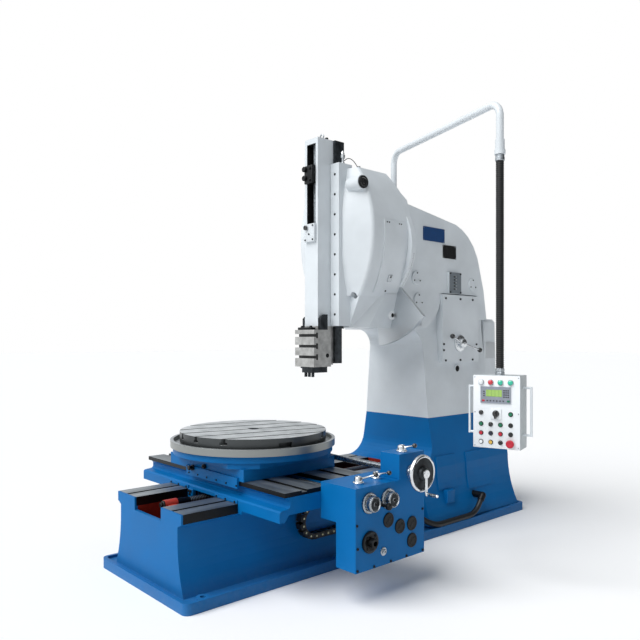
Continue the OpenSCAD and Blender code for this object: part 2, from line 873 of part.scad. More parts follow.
module slide_locks() {
    y0 = table_y - saddle_depth - 18;
    color(black) {
        rod_y(-155, y0 - 42, y0, cross_z + 15, 40);
        rod_y(-20, y0 - 12, y0 + strip_t - 3, cross_z + 41, 32);
    }
}

module table_base() {
    color(blue) difference() {
        rod_z(0, table_y, table_base_z, ring_z, ring_d - 36);
        rod_z(0, table_y, ring_z - 12, ring_z + over, 200);
    }
}

module gutter_ring() {
    z0 = ring_z + seat_gap;
    color(iron) difference() {
        rod_z(0, table_y, z0, ring_top, ring_d);
        rod_z(0, table_y, z0 + 18, ring_top + over, ring_d - 2 * ring_w);
        rod_z(0, table_y, z0 - over, ring_top, table_d - 160);
    }
}

// A T slot along Y
module tee(x, r) {
    head_h = 18;
    z0 = table_z - tslot_h;
    block(x - tslot_w / 2, x + tslot_w / 2, -r, r, z0, table_z + over);
    block(x - tslot_wide / 2, x + tslot_wide / 2, -r, r, z0, z0 + head_h);
}

module table_plate() {
    r = table_d / 2 + over;
    color(iron) translate([0, table_y, 0]) rotate([0, 0, -table_turn]) difference() {
        union() {
            rod_z(0, 0, plate_z, table_z, table_d);
            rod_z(0, 0, ring_z + 2 * seat_gap, plate_z + over, table_d - 200);
        }
        for (i = [-2:2]) tee(tslot_pitch * i, r);
        rod_z(0, 0, ring_z - over, table_z + over, centre_bore_d);
        rotate([0, 0, 1.5]) block(r - 45, r, -48, 48, plate_z + 6, plate_z + 44);
    }
}

// The arm lies along +X here and is turned to its place by the caller
module arm_pipe() {
    r = pipe_bend_r;
    translate([0, 0, boss_top - 60 + seat_gap]) cylinder(h = arm_z - r - boss_top + 60 - seat_gap,
        d = pipe_d);
    translate([r, 0, arm_z - r]) rotate([90, 0, 0]) rotate([0, 0, 90]) rotate_extrude(angle = 90)
        translate([r, 0]) circle(d = pipe_d);
    translate([r, 0, arm_z]) rotate([0, 90, 0]) cylinder(h = arm_reach - 2 * r, d = pipe_d);
    translate([arm_reach - r, 0, arm_z - r]) rotate([90, 0, 0]) rotate_extrude(angle = 90)
        translate([r, 0]) circle(d = pipe_d);
    translate([arm_reach, 0, pipe_end - 20]) cylinder(h = arm_z - r - pipe_end + 20, d = pipe_d);
    translate([arm_reach, 0, sleeve_end + 28]) cylinder(h = pipe_end - sleeve_end - 28, d = pipe_d + 12);
    translate([arm_reach, 0, sleeve_end]) cylinder(h = 30, d = pipe_d + 22);
}

module pendant_arm() {
    color(white) union() {
        translate([boss_x, boss_y, 0]) rotate([0, 0, arm_turn]) arm_pipe();
        rod_z(boss_x, boss_y, boss_top + seat_gap, boss_top + 30, pipe_d + 16);
    }
}

module pendant_conduit() {
    color(black) union() {
        rod_z(pend_x, pend_y, conduit_bottom - 20, conduit_top, conduit_d);
        rod_z(pend_x, pend_y, conduit_top - 43, conduit_top, conduit_d + 8);
        rod_z(pend_x, pend_y, panel_top + seat_gap, conduit_bottom, conduit_d + 10);
    }
}

module at_panel() {
    translate([pend_x, pend_y, panel_top]) rotate([0, 0, panel_turn]) children();
}

module control_box() {
    color(white) at_panel() block(-panel_w / 2, panel_w / 2, -panel_d / 2, panel_d / 2, -panel_h, 0);
}

module panel_handles() {
    color(white) at_panel() for (s = [-1, 1]) translate([s * panel_w / 2, 0, 0]) {
        for (z = [-80, -panel_h + 90]) rod_x(s > 0 ? 0 : -50, s > 0 ? 50 : 0, 0, z, 16);
        rod_z(s * 50, 0, -panel_h + 82, -72, 16);
    }
}

module panel_controls() {
    f = -panel_d / 2;
    color(black) at_panel() {
        for (i = [0:3], j = [0:2]) rod_y(-100 + 66 * i, f - 16, f, -310 - 58 * j, 26);
        for (i = [0:3]) rod_y(-100 + 66 * i, f - 20, f, -50, 34);
        block(-100, 95, f - 10, f, -185, -80);
        block(-34, 30, f - 10, f, -286, -218);
    }
}

base();
bed_ways();
feed_screw();
screw_coupling();
column();
rear_housing();
side_covers();
head();
keepers();
head_cover();
oil_gauge();
pendant_boss();
cable_chain();
hose_gland();
hose();
gear_lever();
ram_slide();
ram_body();
stroke_screw();
stroke_clamp();
ram_plate();
tool_head();
tool_clamp();
saddle();
cross_ways();
cross_screw();
feed_box();
box_fittings();
spline_shaft();
dial(-913);  // dial_front
dial(-745);  // dial_back
handwheel();
lever(1070, -905, box_top, 54, 108);  // lever_front
lever(1040, -711, box_top, -5, 118);  // lever_middle
lever(1110, -550, turret_z, 10, 96);  // lever_top
cross_slide();
slide_locks();
table_base();
gutter_ring();
table_plate();
pendant_arm();
pendant_conduit();
control_box();
panel_handles();
panel_controls();
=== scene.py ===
"""Looks of the slotting machine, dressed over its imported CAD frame.

Sizes in the classes are millimetres in the machine's own frame: X to the feed box side, Y from the
bed's front to the column, Z up from the floor. Blender works in metres, so every size passes through MM.
"""
import logging
import math
from dataclasses import dataclass, field
from enum import Enum
from typing import Callable, Dict, List, Optional, Sequence, Tuple

import bmesh
import bpy
from mathutils import Euler, Matrix, Vector


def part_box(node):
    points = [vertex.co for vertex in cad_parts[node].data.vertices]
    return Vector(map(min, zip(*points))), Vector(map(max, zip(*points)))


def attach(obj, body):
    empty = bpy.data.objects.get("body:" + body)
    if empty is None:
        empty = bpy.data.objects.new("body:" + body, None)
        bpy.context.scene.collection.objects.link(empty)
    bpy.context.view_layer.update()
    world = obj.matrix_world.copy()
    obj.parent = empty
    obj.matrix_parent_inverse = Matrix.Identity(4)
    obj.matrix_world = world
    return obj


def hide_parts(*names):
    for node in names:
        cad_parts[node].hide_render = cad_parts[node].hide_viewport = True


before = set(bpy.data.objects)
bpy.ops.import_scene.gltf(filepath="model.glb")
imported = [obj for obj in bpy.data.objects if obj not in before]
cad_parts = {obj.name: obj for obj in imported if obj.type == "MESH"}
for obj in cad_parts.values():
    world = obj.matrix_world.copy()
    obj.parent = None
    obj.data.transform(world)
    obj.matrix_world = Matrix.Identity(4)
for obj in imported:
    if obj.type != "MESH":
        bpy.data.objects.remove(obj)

MM = 0.001
LOG = logging.getLogger("slotting_machine")
Place = Tuple[float, float, float]
Step = Tuple[float, float]


class Way(Enum):
    """Direction in which a turned part or a screw points."""

    RIGHT = (1.0, 0.0, 0.0)
    LEFT = (-1.0, 0.0, 0.0)
    BACK = (0.0, 1.0, 0.0)
    FRONT = (0.0, -1.0, 0.0)
    UP = (0.0, 0.0, 1.0)
    DOWN = (0.0, 0.0, -1.0)


class Slot(Enum):
    """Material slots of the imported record."""

    BLUE = "blue_enamel"
    WHITE = "white_enamel"
    WAY = "way_steel"
    IRON = "machined_iron"
    BLACK = "black_finish"
    RED = "red_paint"
    CHROME = "chrome"
    PLATED = "plated_steel"
    PLASTIC = "black_plastic"
    RUBBER = "black_rubber"


def at(x: float, y: float, z: float) -> Vector:
    """Turn a place in millimetres into Blender's metres."""
    return Vector((x, y, z)) * MM


def linear(code: str) -> Tuple[float, float, float, float]:
    """Turn an sRGB hex colour into the linear colour that shaders use.

    Args:
        code: colour such as "#2A5F9E".

    Returns:
        Linear red, green, blue and an alpha of one.
    """
    parts = [int(code[i : i + 2], 16) / 255 for i in (1, 3, 5)]
    flat = [c / 12.92 if c <= 0.04045 else ((c + 0.055) / 1.055) ** 2.4 for c in parts]
    return (flat[0], flat[1], flat[2], 1.0)


def add_node(tree: bpy.types.NodeTree, kind: str, settings: Optional[dict] = None, sockets: Optional[dict] = None) -> bpy.types.Node:
    """Add one shader node with its settings, values and links.

    Args:
        tree: node tree that takes the node.
        kind: Blender's type name of the node.
        settings: attribute values of the node.
        sockets: value, or output socket to link from, by input name or number.

    Returns:
        The new node.
    """
    made = tree.nodes.new(kind)
    for key, value in (settings or {}).items():
        setattr(made, key, value)
    for key, value in (sockets or {}).items():
        if isinstance(value, bpy.types.NodeSocket):
            tree.links.new(value, made.inputs[key])
        else:
            made.inputs[key].default_value = value
    return made


@dataclass(frozen=True)
class Finish:
    """A surface finish: its colour, its gloss and the small relief that the process leaves."""

    name: str
    colour: str
    roughness: float
    metallic: float = 0.0
    coat: float = 0.0
    coat_roughness: float = 0.1
    specular: float = 0.5

    def make(self) -> bpy.types.Material:
        """Return this finish as a material, building it the first time."""
        known = bpy.data.materials.get(self.name)
        if known is not None:
            return known
        material = bpy.data.materials.new(self.name)
        material.use_nodes = True
        tree = material.node_tree
        tree.nodes.clear()
        shader = add_node(tree, "ShaderNodeBsdfPrincipled", None, {"Base Color": linear(self.colour), "Roughness": self.roughness, "Metallic": self.metallic, "Coat Weight": self.coat, "Coat Roughness": self.coat_roughness, "Specular IOR Level": self.specular})
        out = add_node(tree, "ShaderNodeOutputMaterial", None, {"Surface": shader.outputs["BSDF"]})
        out.location = (600, 0)
        place = add_node(tree, "ShaderNodeTexCoord").outputs["Object"]
        self.pattern(tree, shader, place)
        return material

    def pattern(self, tree: bpy.types.NodeTree, shader: bpy.types.Node, place: bpy.types.NodeSocket) -> None:
        """Add the finish's own variation.

        Args:
            tree: the material's nodes.
            shader: its principled shader.
            place: object coordinates in metres.
        """
        raise NotImplementedError


def speckle(tree: bpy.types.NodeTree, place: bpy.types.NodeSocket, size_mm: float, detail: float = 2.0, stretch: Place = (1.0, 1.0, 1.0)) -> bpy.types.NodeSocket:
    """Add a noise whose grains have a real size.

    Args:
        tree: the material's nodes.
        place: coordinates in metres.
        size_mm: size of a grain in millimetres.
        detail: octaves of finer grain.
        stretch: how many times longer a grain is along X, Y and Z.

    Returns:
        The noise value, from 0 to 1.
    """
    scaled = add_node(tree, "ShaderNodeMapping", None, {"Vector": place, "Scale": tuple(1.0 / s for s in stretch)})
    noise = add_node(tree, "ShaderNodeTexNoise", None, {"Vector": scaled.outputs[0], "Scale": 1.0 / (size_mm * MM), "Detail": detail, "Roughness": 0.55})
    return noise.outputs["Fac"]


def tint(tree: bpy.types.NodeTree, amount: bpy.types.NodeSocket, low: str, high: str, span: Step = (0.3, 0.7)) -> bpy.types.NodeSocket:
    """Blend two colours by a value.

    Args:
        tree: the material's nodes.
        amount: value that drives the blend.
        low: hex colour where the value is low.
        high: hex colour where it is high.
        span: values that count as fully low and fully high.

    Returns:
        The blended colour.
    """
    ramp = add_node(tree, "ShaderNodeMapRange", None, {"Value": amount, "From Min": span[0], "From Max": span[1]})
    mix = add_node(tree, "ShaderNodeMix", {"data_type": "RGBA"}, {"Factor": ramp.outputs[0], 6: linear(low), 7: linear(high)})
    return mix.outputs[2]


def spread(tree: bpy.types.NodeTree, amount: bpy.types.NodeSocket, low: float, high: float) -> bpy.types.NodeSocket:
    """Map a noise value to a range, and return the mapped value."""
    ramp = add_node(tree, "ShaderNodeMapRange", None, {"Value": amount, "From Min": 0.3, "From Max": 0.7, "To Min": low, "To Max": high})
    return ramp.outputs[0]


def relief(tree: bpy.types.NodeTree, height: bpy.types.NodeSocket, depth_mm: float, strength: float, edge_mm: float = 0.0) -> bpy.types.NodeSocket:
    """Turn a height into a surface normal, with the edges eased.

    Args:
        tree: the material's nodes.
        height: relief, from 0 to 1.
        depth_mm: real depth of the relief.
        strength: how much of it shows.
        edge_mm: radius to which sharp edges are eased, or 0.

    Returns:
        The normal for the shader.
    """
    sockets = {"Height": height, "Distance": depth_mm * MM, "Strength": strength}
    if edge_mm > 0:
        eased = add_node(tree, "ShaderNodeBevel", {"samples": 4}, {"Radius": edge_mm * MM})
        sockets["Normal"] = eased.outputs[0]
    return add_node(tree, "ShaderNodeBump", None, sockets).outputs[0]


@dataclass(frozen=True)
class MachineEnamel(Finish):
    """Two-pack enamel sprayed over filled cast iron: glossy, with orange peel and the filler's soft waves."""

    dusty: str = "#8A8F93"
    peel_mm: float = 16.0
    edge_mm: float = 3.0

    def pattern(self, tree: bpy.types.NodeTree, shader: bpy.types.Node, place: bpy.types.NodeSocket) -> None:
        """Add orange peel, filler waves and a little dust that settles low on the machine."""
        peel = speckle(tree, place, self.peel_mm)
        waves = speckle(tree, place, 120.0, 1.0)
        clouds = speckle(tree, place, 340.0, 3.0)
        shade = add_node(tree, "ShaderNodeMapRange", None, {"Value": clouds, "From Min": 0.25, "From Max": 0.75, "To Min": 0.90, "To Max": 1.06})
        paint = add_node(tree, "ShaderNodeVectorMath", {"operation": "SCALE"}, {0: linear(self.colour)[:3], "Scale": shade.outputs[0]})
        height = add_node(tree, "ShaderNodeSeparateXYZ", None, {0: place}).outputs["Z"]
        low = add_node(tree, "ShaderNodeMapRange", None, {"Value": height, "From Min": 0.16, "From Max": 0.0, "To Min": 0.0, "To Max": 0.22})
        dust = add_node(tree, "ShaderNodeMath", {"operation": "MULTIPLY"}, {0: low.outputs[0], 1: speckle(tree, place, 30.0, 4.0)})
        mix = add_node(tree, "ShaderNodeMix", {"data_type": "RGBA"}, {"Factor": dust.outputs[0], 6: paint.outputs[0], 7: linear(self.dusty)})
        tree.links.new(mix.outputs[2], shader.inputs["Base Color"])
        tree.links.new(spread(tree, clouds, self.roughness - 0.04, self.roughness + 0.05), shader.inputs["Roughness"])
        both = add_node(tree, "ShaderNodeMath", {"operation": "MULTIPLY_ADD"}, {0: waves, 1: 1.0, 2: peel})
        tree.links.new(relief(tree, both.outputs[0], 0.2, 0.06, self.edge_mm), shader.inputs["Normal"])


@dataclass(frozen=True)
class TroughedEnamel(MachineEnamel):
    """The bed's enamel, with oxide red primer left showing inside its trough."""

    primer: str = "#8A2A1E"
    inner: Tuple[float, float, float] = (179.6, 1739.9, 340.0)

    def pattern(self, tree: bpy.types.NodeTree, shader: bpy.types.Node, place: bpy.types.NodeSocket) -> None:
        """Add the enamel's pattern, then paint the trough's inside, which is a box in the bed's own frame."""
        MachineEnamel.pattern(self, tree, shader, place)
        paint = shader.inputs["Base Color"].links[0].from_socket
        split = add_node(tree, "ShaderNodeSeparateXYZ", None, {0: place})
        half, reach, floor = (v * MM for v in self.inner)
        across = add_node(tree, "ShaderNodeMath", {"operation": "ABSOLUTE"}, {0: split.outputs["X"]})
        tests = [
            add_node(tree, "ShaderNodeMath", {"operation": "LESS_THAN"}, {0: across.outputs[0], 1: half}),
            add_node(tree, "ShaderNodeMath", {"operation": "GREATER_THAN"}, {0: split.outputs["Y"], 1: -reach}),
            add_node(tree, "ShaderNodeMath", {"operation": "LESS_THAN"}, {0: split.outputs["Y"], 1: 0.481}),
            add_node(tree, "ShaderNodeMath", {"operation": "GREATER_THAN"}, {0: split.outputs["Z"], 1: floor - 0.001}),
            add_node(tree, "ShaderNodeMath", {"operation": "LESS_THAN"}, {0: split.outputs["Z"], 1: 0.56}),
        ]
        mask = tests[0].outputs[0]
        for test in tests[1:]:
            mask = add_node(tree, "ShaderNodeMath", {"operation": "MULTIPLY"}, {0: mask, 1: test.outputs[0]}).outputs[0]
        red = tint(tree, speckle(tree, place, 60.0, 4.0), "#6E2018", self.primer)
        mix = add_node(tree, "ShaderNodeMix", {"data_type": "RGBA"}, {"Factor": mask, 6: paint, 7: red})
        tree.links.new(mix.outputs[2], shader.inputs["Base Color"])


@dataclass(frozen=True)
class GroundWay(Finish):
    """Grey cast iron ground lengthwise and wet with way oil: a top with streaks, painted lighter than the sides, and
    sides painted near black for their oil and as painted shade.
    """

    stretch: Place = (1.0, 60.0, 1.0)
    # colour of faces that don't face up: oil and painted shade
    oiled: str = "#17191B"

    def pattern(self, tree: bpy.types.NodeTree, shader: bpy.types.Node, place: bpy.types.NodeSocket) -> None:
        """Add grinding streaks about 2 mm apart, drawn coarser than life so that they show, and paint the sides near
        black, for oil and as painted shade.
        """
        streaks = speckle(tree, place, 2.0, 3.0, self.stretch)
        film = speckle(tree, place, 90.0, 3.0, tuple(1.0 + (s - 1.0) / 10 for s in self.stretch))
        top = tint(tree, film, "#5E666B", self.colour)
        # painted light and shade: faces that point up take the light top colour, all other faces the near black one
        up = add_node(tree, "ShaderNodeSeparateXYZ", None, {0: add_node(tree, "ShaderNodeNewGeometry").outputs["Normal"]})
        facing = add_node(tree, "ShaderNodeMath", {"operation": "GREATER_THAN"}, {0: up.outputs["Z"], 1: 0.7})
        mix = add_node(tree, "ShaderNodeMix", {"data_type": "RGBA"}, {"Factor": facing.outputs[0], 6: linear(self.oiled), 7: top})
        tree.links.new(mix.outputs[2], shader.inputs["Base Color"])
        tree.links.new(spread(tree, streaks, self.roughness - 0.06, self.roughness + 0.1), shader.inputs["Roughness"])
        tree.links.new(relief(tree, streaks, 0.05, 0.3, 1.5), shader.inputs["Normal"])


@dataclass(frozen=True)
class MachinedIron(Finish):
    """Milled or planed grey iron, lightly oiled: feed marks along the cut and a cloudy grey film."""

    stretch: Place = (20.0, 1.0, 1.0)
    grain_mm: float = 1.6
    shadow: str = "#6F767B"

    def pattern(self, tree: bpy.types.NodeTree, shader: bpy.types.Node, place: bpy.types.NodeSocket) -> None:
        """Add feed marks and the clouds of an old oil film."""
        marks = speckle(tree, place, self.grain_mm, 3.0, self.stretch)
        clouds = speckle(tree, place, 55.0, 4.0)
        tree.links.new(tint(tree, clouds, self.shadow, self.colour), shader.inputs["Base Color"])
        tree.links.new(spread(tree, marks, self.roughness - 0.06, self.roughness + 0.08), shader.inputs["Roughness"])
        tree.links.new(relief(tree, marks, 0.06, 0.35, 1.2), shader.inputs["Normal"])


@dataclass(frozen=True)
class FacedIron(Finish):
    """Iron faced on a lathe: fine rings round its centre, crossed by the marks of parts clamped on it."""

    centre: Tuple[float, float] = (0.0, -916.0)
    ring_mm: float = 6.0
    # colour of faces that don't face up: painted shade
    side: str = "#4C4F50"

    def pattern(self, tree: bpy.types.NodeTree, shader: bpy.types.Node, place: bpy.types.NodeSocket) -> None:
        """Add rings round the centre, which are coarser than life so that they show, and darker oiled patches; paint
        the sides darker than the top, as painted shade.
        """
        moved = add_node(tree, "ShaderNodeVectorMath", {"operation": "SUBTRACT"}, {0: place, 1: at(self.centre[0], self.centre[1], 0.0)})
        flat = add_node(tree, "ShaderNodeVectorMath", {"operation": "MULTIPLY"}, {0: moved.outputs[0], 1: (1.0, 1.0, 0.0)})
        far = add_node(tree, "ShaderNodeVectorMath", {"operation": "LENGTH"}, {0: flat.outputs[0]})
        rings = add_node(tree, "ShaderNodeTexNoise", {"noise_dimensions": "1D"}, {"W": far.outputs["Value"], "Scale": 1.0 / (self.ring_mm * MM), "Detail": 3.0})
        clouds = speckle(tree, place, 120.0, 4.0)
        top = tint(tree, clouds, "#A9AEB0", self.colour)
        # painted light and shade: faces that point up take the top's colour, all other faces the darker side colour
        up = add_node(tree, "ShaderNodeSeparateXYZ", None, {0: add_node(tree, "ShaderNodeNewGeometry").outputs["Normal"]})
        facing = add_node(tree, "ShaderNodeMath", {"operation": "GREATER_THAN"}, {0: up.outputs["Z"], 1: 0.7})
        mix = add_node(tree, "ShaderNodeMix", {"data_type": "RGBA"}, {"Factor": facing.outputs[0], 6: linear(self.side), 7: top})
        tree.links.new(mix.outputs[2], shader.inputs["Base Color"])
        tree.links.new(spread(tree, rings.outputs["Fac"], self.roughness - 0.05, self.roughness + 0.09), shader.inputs["Roughness"])
        tree.links.new(relief(tree, rings.outputs["Fac"], 0.05, 0.3, 1.5), shader.inputs["Normal"])


@dataclass(frozen=True)
class ThreadedSteel(Finish):
    """A rolled screw in bright steel, greased in its roots: threads at their real pitch along one axis, the roots
    painted dark for their grease and as painted shade.
    """

    along: int = 1
    pitch_mm: float = 12.0
    # colour of the thread's roots: grease and painted shade
    root: str = "#15171A"

    def pattern(self, tree: bpy.types.NodeTree, shader: bpy.types.Node, place: bpy.types.NodeSocket) -> None:
        """Add the thread as bands along the screw: bright crests, and black roots that are grease and painted shade."""
        split = add_node(tree, "ShaderNodeSeparateXYZ", None, {0: place})
        turns = add_node(tree, "ShaderNodeMath", {"operation": "MULTIPLY"}, {0: split.outputs[self.along], 1: 1.0 / (self.pitch_mm * MM)})
        wave = add_node(tree, "ShaderNodeMath", {"operation": "PINGPONG"}, {0: turns.outputs[0], 1: 0.5})
        height = add_node(tree, "ShaderNodeMath", {"operation": "MULTIPLY"}, {0: wave.outputs[0], 1: 2.0})
        # roots painted dark: grease, and painted shade in the thread's hollows
        tree.links.new(tint(tree, height.outputs[0], self.root, self.colour), shader.inputs["Base Color"])
        tree.links.new(spread(tree, speckle(tree, place, 20.0), self.roughness - 0.05, self.roughness + 0.1), shader.inputs["Roughness"])
        tree.links.new(relief(tree, height.outputs[0], 3.0, 0.8), shader.inputs["Normal"])


@dataclass(frozen=True)
class PolishedMetal(Finish):
    """Chrome plate, zinc plate or bright turned steel: a mirror with handling marks in its gloss."""

    smear: str = "#C9CDD0"

    def pattern(self, tree: bpy.types.NodeTree, shader: bpy.types.Node, place: bpy.types.NodeSocket) -> None:
        """Add handling smears about 15 mm wide and fine polishing marks."""
        smears = speckle(tree, place, 15.0, 4.0)
        tree.links.new(tint(tree, smears, self.smear, self.colour), shader.inputs["Base Color"])
        tree.links.new(spread(tree, smears, self.roughness, self.roughness + 0.1), shader.inputs["Roughness"])
        tree.links.new(relief(tree, speckle(tree, place, 1.0), 0.02, 0.15, 1.0), shader.inputs["Normal"])


@dataclass(frozen=True)
class KnurledSteel(Finish):
    """Turned steel with a diamond knurl or divisions cut round its rim."""

    centre: Tuple[float, float] = (0.0, 0.0)
    cuts: float = 60.0

    def pattern(self, tree: bpy.types.NodeTree, shader: bpy.types.Node, place: bpy.types.NodeSocket) -> None:
        """Add cuts at equal angles round an axis along X, as relief and as dark lines, which are painted shade in the
        cuts.
        """
        moved = add_node(tree, "ShaderNodeVectorMath", {"operation": "SUBTRACT"}, {0: place, 1: at(0.0, self.centre[0], self.centre[1])})
        split = add_node(tree, "ShaderNodeSeparateXYZ", None, {0: moved.outputs[0]})
        angle = add_node(tree, "ShaderNodeMath", {"operation": "ARCTAN2"}, {0: split.outputs["Z"], 1: split.outputs["Y"]})
        turned = add_node(tree, "ShaderNodeMath", {"operation": "MULTIPLY"}, {0: angle.outputs[0], 1: self.cuts})
        wave = add_node(tree, "ShaderNodeMath", {"operation": "COSINE"}, {0: turned.outputs[0]})
        height = add_node(tree, "ShaderNodeMapRange", None, {"Value": wave.outputs[0], "From Min": -1.0, "From Max": 1.0})
        # cuts painted dark: painted shade in the grooves
        tree.links.new(tint(tree, height.outputs[0], "#5B6166", self.colour), shader.inputs["Base Color"])
        tree.links.new(spread(tree, speckle(tree, place, 12.0), self.roughness - 0.04, self.roughness + 0.08), shader.inputs["Roughness"])
        tree.links.new(relief(tree, height.outputs[0], 0.5, 0.6, 1.0), shader.inputs["Normal"])


@dataclass(frozen=True)
class Moulded(Finish):
    """Moulded phenolic, acrylic, rubber or nylon: its own colour all through, with a faint mould grain."""

    grain_mm: float = 1.5
    grain_depth: float = 0.05
    mottle: float = 0.10

    def pattern(self, tree: bpy.types.NodeTree, shader: bpy.types.Node, place: bpy.types.NodeSocket) -> None:
        """Add the mould's grain, and a slow change of shade and gloss from handling."""
        clouds = speckle(tree, place, 25.0, 3.0)
        shade = add_node(tree, "ShaderNodeMapRange", None, {"Value": clouds, "From Min": 0.3, "From Max": 0.7, "To Min": 1.0 - self.mottle, "To Max": 1.0 + self.mottle})
        body = add_node(tree, "ShaderNodeVectorMath", {"operation": "SCALE"}, {0: linear(self.colour)[:3], "Scale": shade.outputs[0]})
        tree.links.new(body.outputs[0], shader.inputs["Base Color"])
        tree.links.new(spread(tree, clouds, self.roughness, self.roughness + 0.08), shader.inputs["Roughness"])
        tree.links.new(relief(tree, speckle(tree, place, self.grain_mm), self.grain_depth, 0.3), shader.inputs["Normal"])


@dataclass(frozen=True)
class LiquidCrystal(Finish):
    """A backlit character display: a green field with the fine lattice of its cells under glass."""

    cell_mm: float = 7.0

    def pattern(self, tree: bpy.types.NodeTree, shader: bpy.types.Node, place: bpy.types.NodeSocket) -> None:
        """Add the lattice of blank character cells, coarser than life so that it shows."""
        cells = add_node(tree, "ShaderNodeTexVoronoi", {"distance": "CHEBYCHEV"}, {"Vector": place, "Scale": 1.0 / (self.cell_mm * MM), "Randomness": 0.0})
        tree.links.new(tint(tree, cells.outputs["Distance"], self.colour, "#7FA34C", (0.30, 0.5)), shader.inputs["Base Color"])
        tree.links.new(spread(tree, speckle(tree, place, 10.0), 0.06, 0.14), shader.inputs["Roughness"])


class Palette:
    """Every finish on the machine."""

    BLUE = MachineEnamel("blue_enamel_on_iron", "#0466A6", 0.42, coat=0.02, coat_roughness=0.25, specular=0.12)
    BED = TroughedEnamel("blue_enamel_with_primer", "#0466A6", 0.42, coat=0.02, coat_roughness=0.25, specular=0.12)
    PIPE = MachineEnamel("white_enamel_on_pipe", "#DCE2E6", 0.32, edge_mm=0.0)
    WHITE = MachineEnamel("white_enamel_on_iron", "#D9DFE3", 0.36, coat=0.1, coat_roughness=0.2, specular=0.35)
    SHEET = MachineEnamel("white_powder_coat", "#E6EAED", 0.34, peel_mm=2.5, edge_mm=2.0)
    SHEET_SIDE = MachineEnamel("grey_powder_coat", "#B9C0C2", 0.4, peel_mm=2.5, edge_mm=2.0)
    RED = MachineEnamel("oxide_red_enamel", "#B83C2C", 0.35, edge_mm=2.0)
    BED_WAY = GroundWay("ground_bed_way", "#A9B0B4", 0.34, 0.75)
    CROSS_WAY = GroundWay("ground_cross_way", "#A9B0B4", 0.34, 0.75, stretch=(60.0, 1.0, 1.0))
    RAM_WAY = MachinedIron("scraped_ram_slide", "#4A4F53", 0.36, 0.85, stretch=(1.0, 1.0, 40.0), shadow="#24272A")
    TOOL_IRON = MachinedIron("milled_tool_head", "#BDBDBB", 0.4, 0.6, shadow="#949492")
    DARK_IRON = MachinedIron("oiled_dark_iron", "#3A3F43", 0.38, 0.8, shadow="#1C1F22")
    # The table's and the gutter's sides are painted darker than their tops, as painted shade.
    FACED = FacedIron("faced_table_iron", "#E0E3E4", 0.36, 0.8)
    RING = FacedIron("turned_gutter_iron", "#B4B8BA", 0.38, 0.75, side="#8F9290")
    FEED_SCREW = ThreadedSteel("long_feed_screw", "#7C8388", 0.35, 0.85)
    CROSS_SCREW = ThreadedSteel("cross_feed_screw", "#7C8388", 0.35, 0.85, along=0, pitch_mm=10.0)
    STROKE_SCREW = ThreadedSteel("stroke_setting_screw", "#868D92", 0.32, 0.85, along=2, pitch_mm=10.0)
    CHROME = PolishedMetal("bright_chrome_plate", "#E4E6E8", 0.08, 1.0)
    ZINC = PolishedMetal("zinc_plate", "#C2C7CB", 0.24, 1.0, smear="#9DA3A8")
    TURNED = PolishedMetal("turned_bright_steel", "#AEB4B9", 0.22, 1.0, smear="#868D92")
    BLACKED = PolishedMetal("black_oxide_steel", "#1A1C1E", 0.34, 0.6, smear="#0C0D0E")
    KNOB = Moulded("black_phenolic", "#08090A", 0.12, coat=0.6)
    BLACK = Moulded("black_nylon", "#101112", 0.42)
    RUBBER = Moulded("black_rubber_hose", "#0B0C0D", 0.4, grain_mm=2.0)
    IVORY = Moulded("ivory_nylon", "#D8D2A6", 0.4)
    GREY = Moulded("grey_membrane", "#878D98", 0.45)
    GLASS = Moulded("dark_sight_glass", "#0A0B0D", 0.06, coat=1.0)
    WHITE_KNOB = Moulded("white_phenolic", "#E9ECEE", 0.2, coat=0.5)
    LENS_WHITE = Moulded("white_acrylic", "#E8ECEE", 0.1, coat=1.0)
    LENS_RED = Moulded("red_acrylic", "#C8142C", 0.1, coat=1.0)
    LENS_GREEN = Moulded("green_acrylic", "#17B795", 0.1, coat=1.0)
    KEY_GREEN = Moulded("green_key_cap", "#0F6B4A", 0.3)
    KEY_RED = Moulded("red_key_cap", "#B3172E", 0.3)
    KEY_YELLOW = Moulded("yellow_key_cap", "#CFA84A", 0.3)
    KEY_BLUE = Moulded("blue_black_key_cap", "#10182C", 0.3)
    PLATE_BLUE = Moulded("blue_bare_plate", "#0E3F73", 0.3)
    PLATE_RED = Moulded("red_bare_plate", "#A8474A", 0.35)
    PLATE_STEEL = PolishedMetal("anodised_aluminium", "#C9CED2", 0.3, 0.9)
    VENT = MachineEnamel("grey_vent_enamel", "#7E868C", 0.36, 0.3, edge_mm=1.0)
    DISPLAY = LiquidCrystal("green_display", "#A3CC5C", 0.1, coat=1.0)


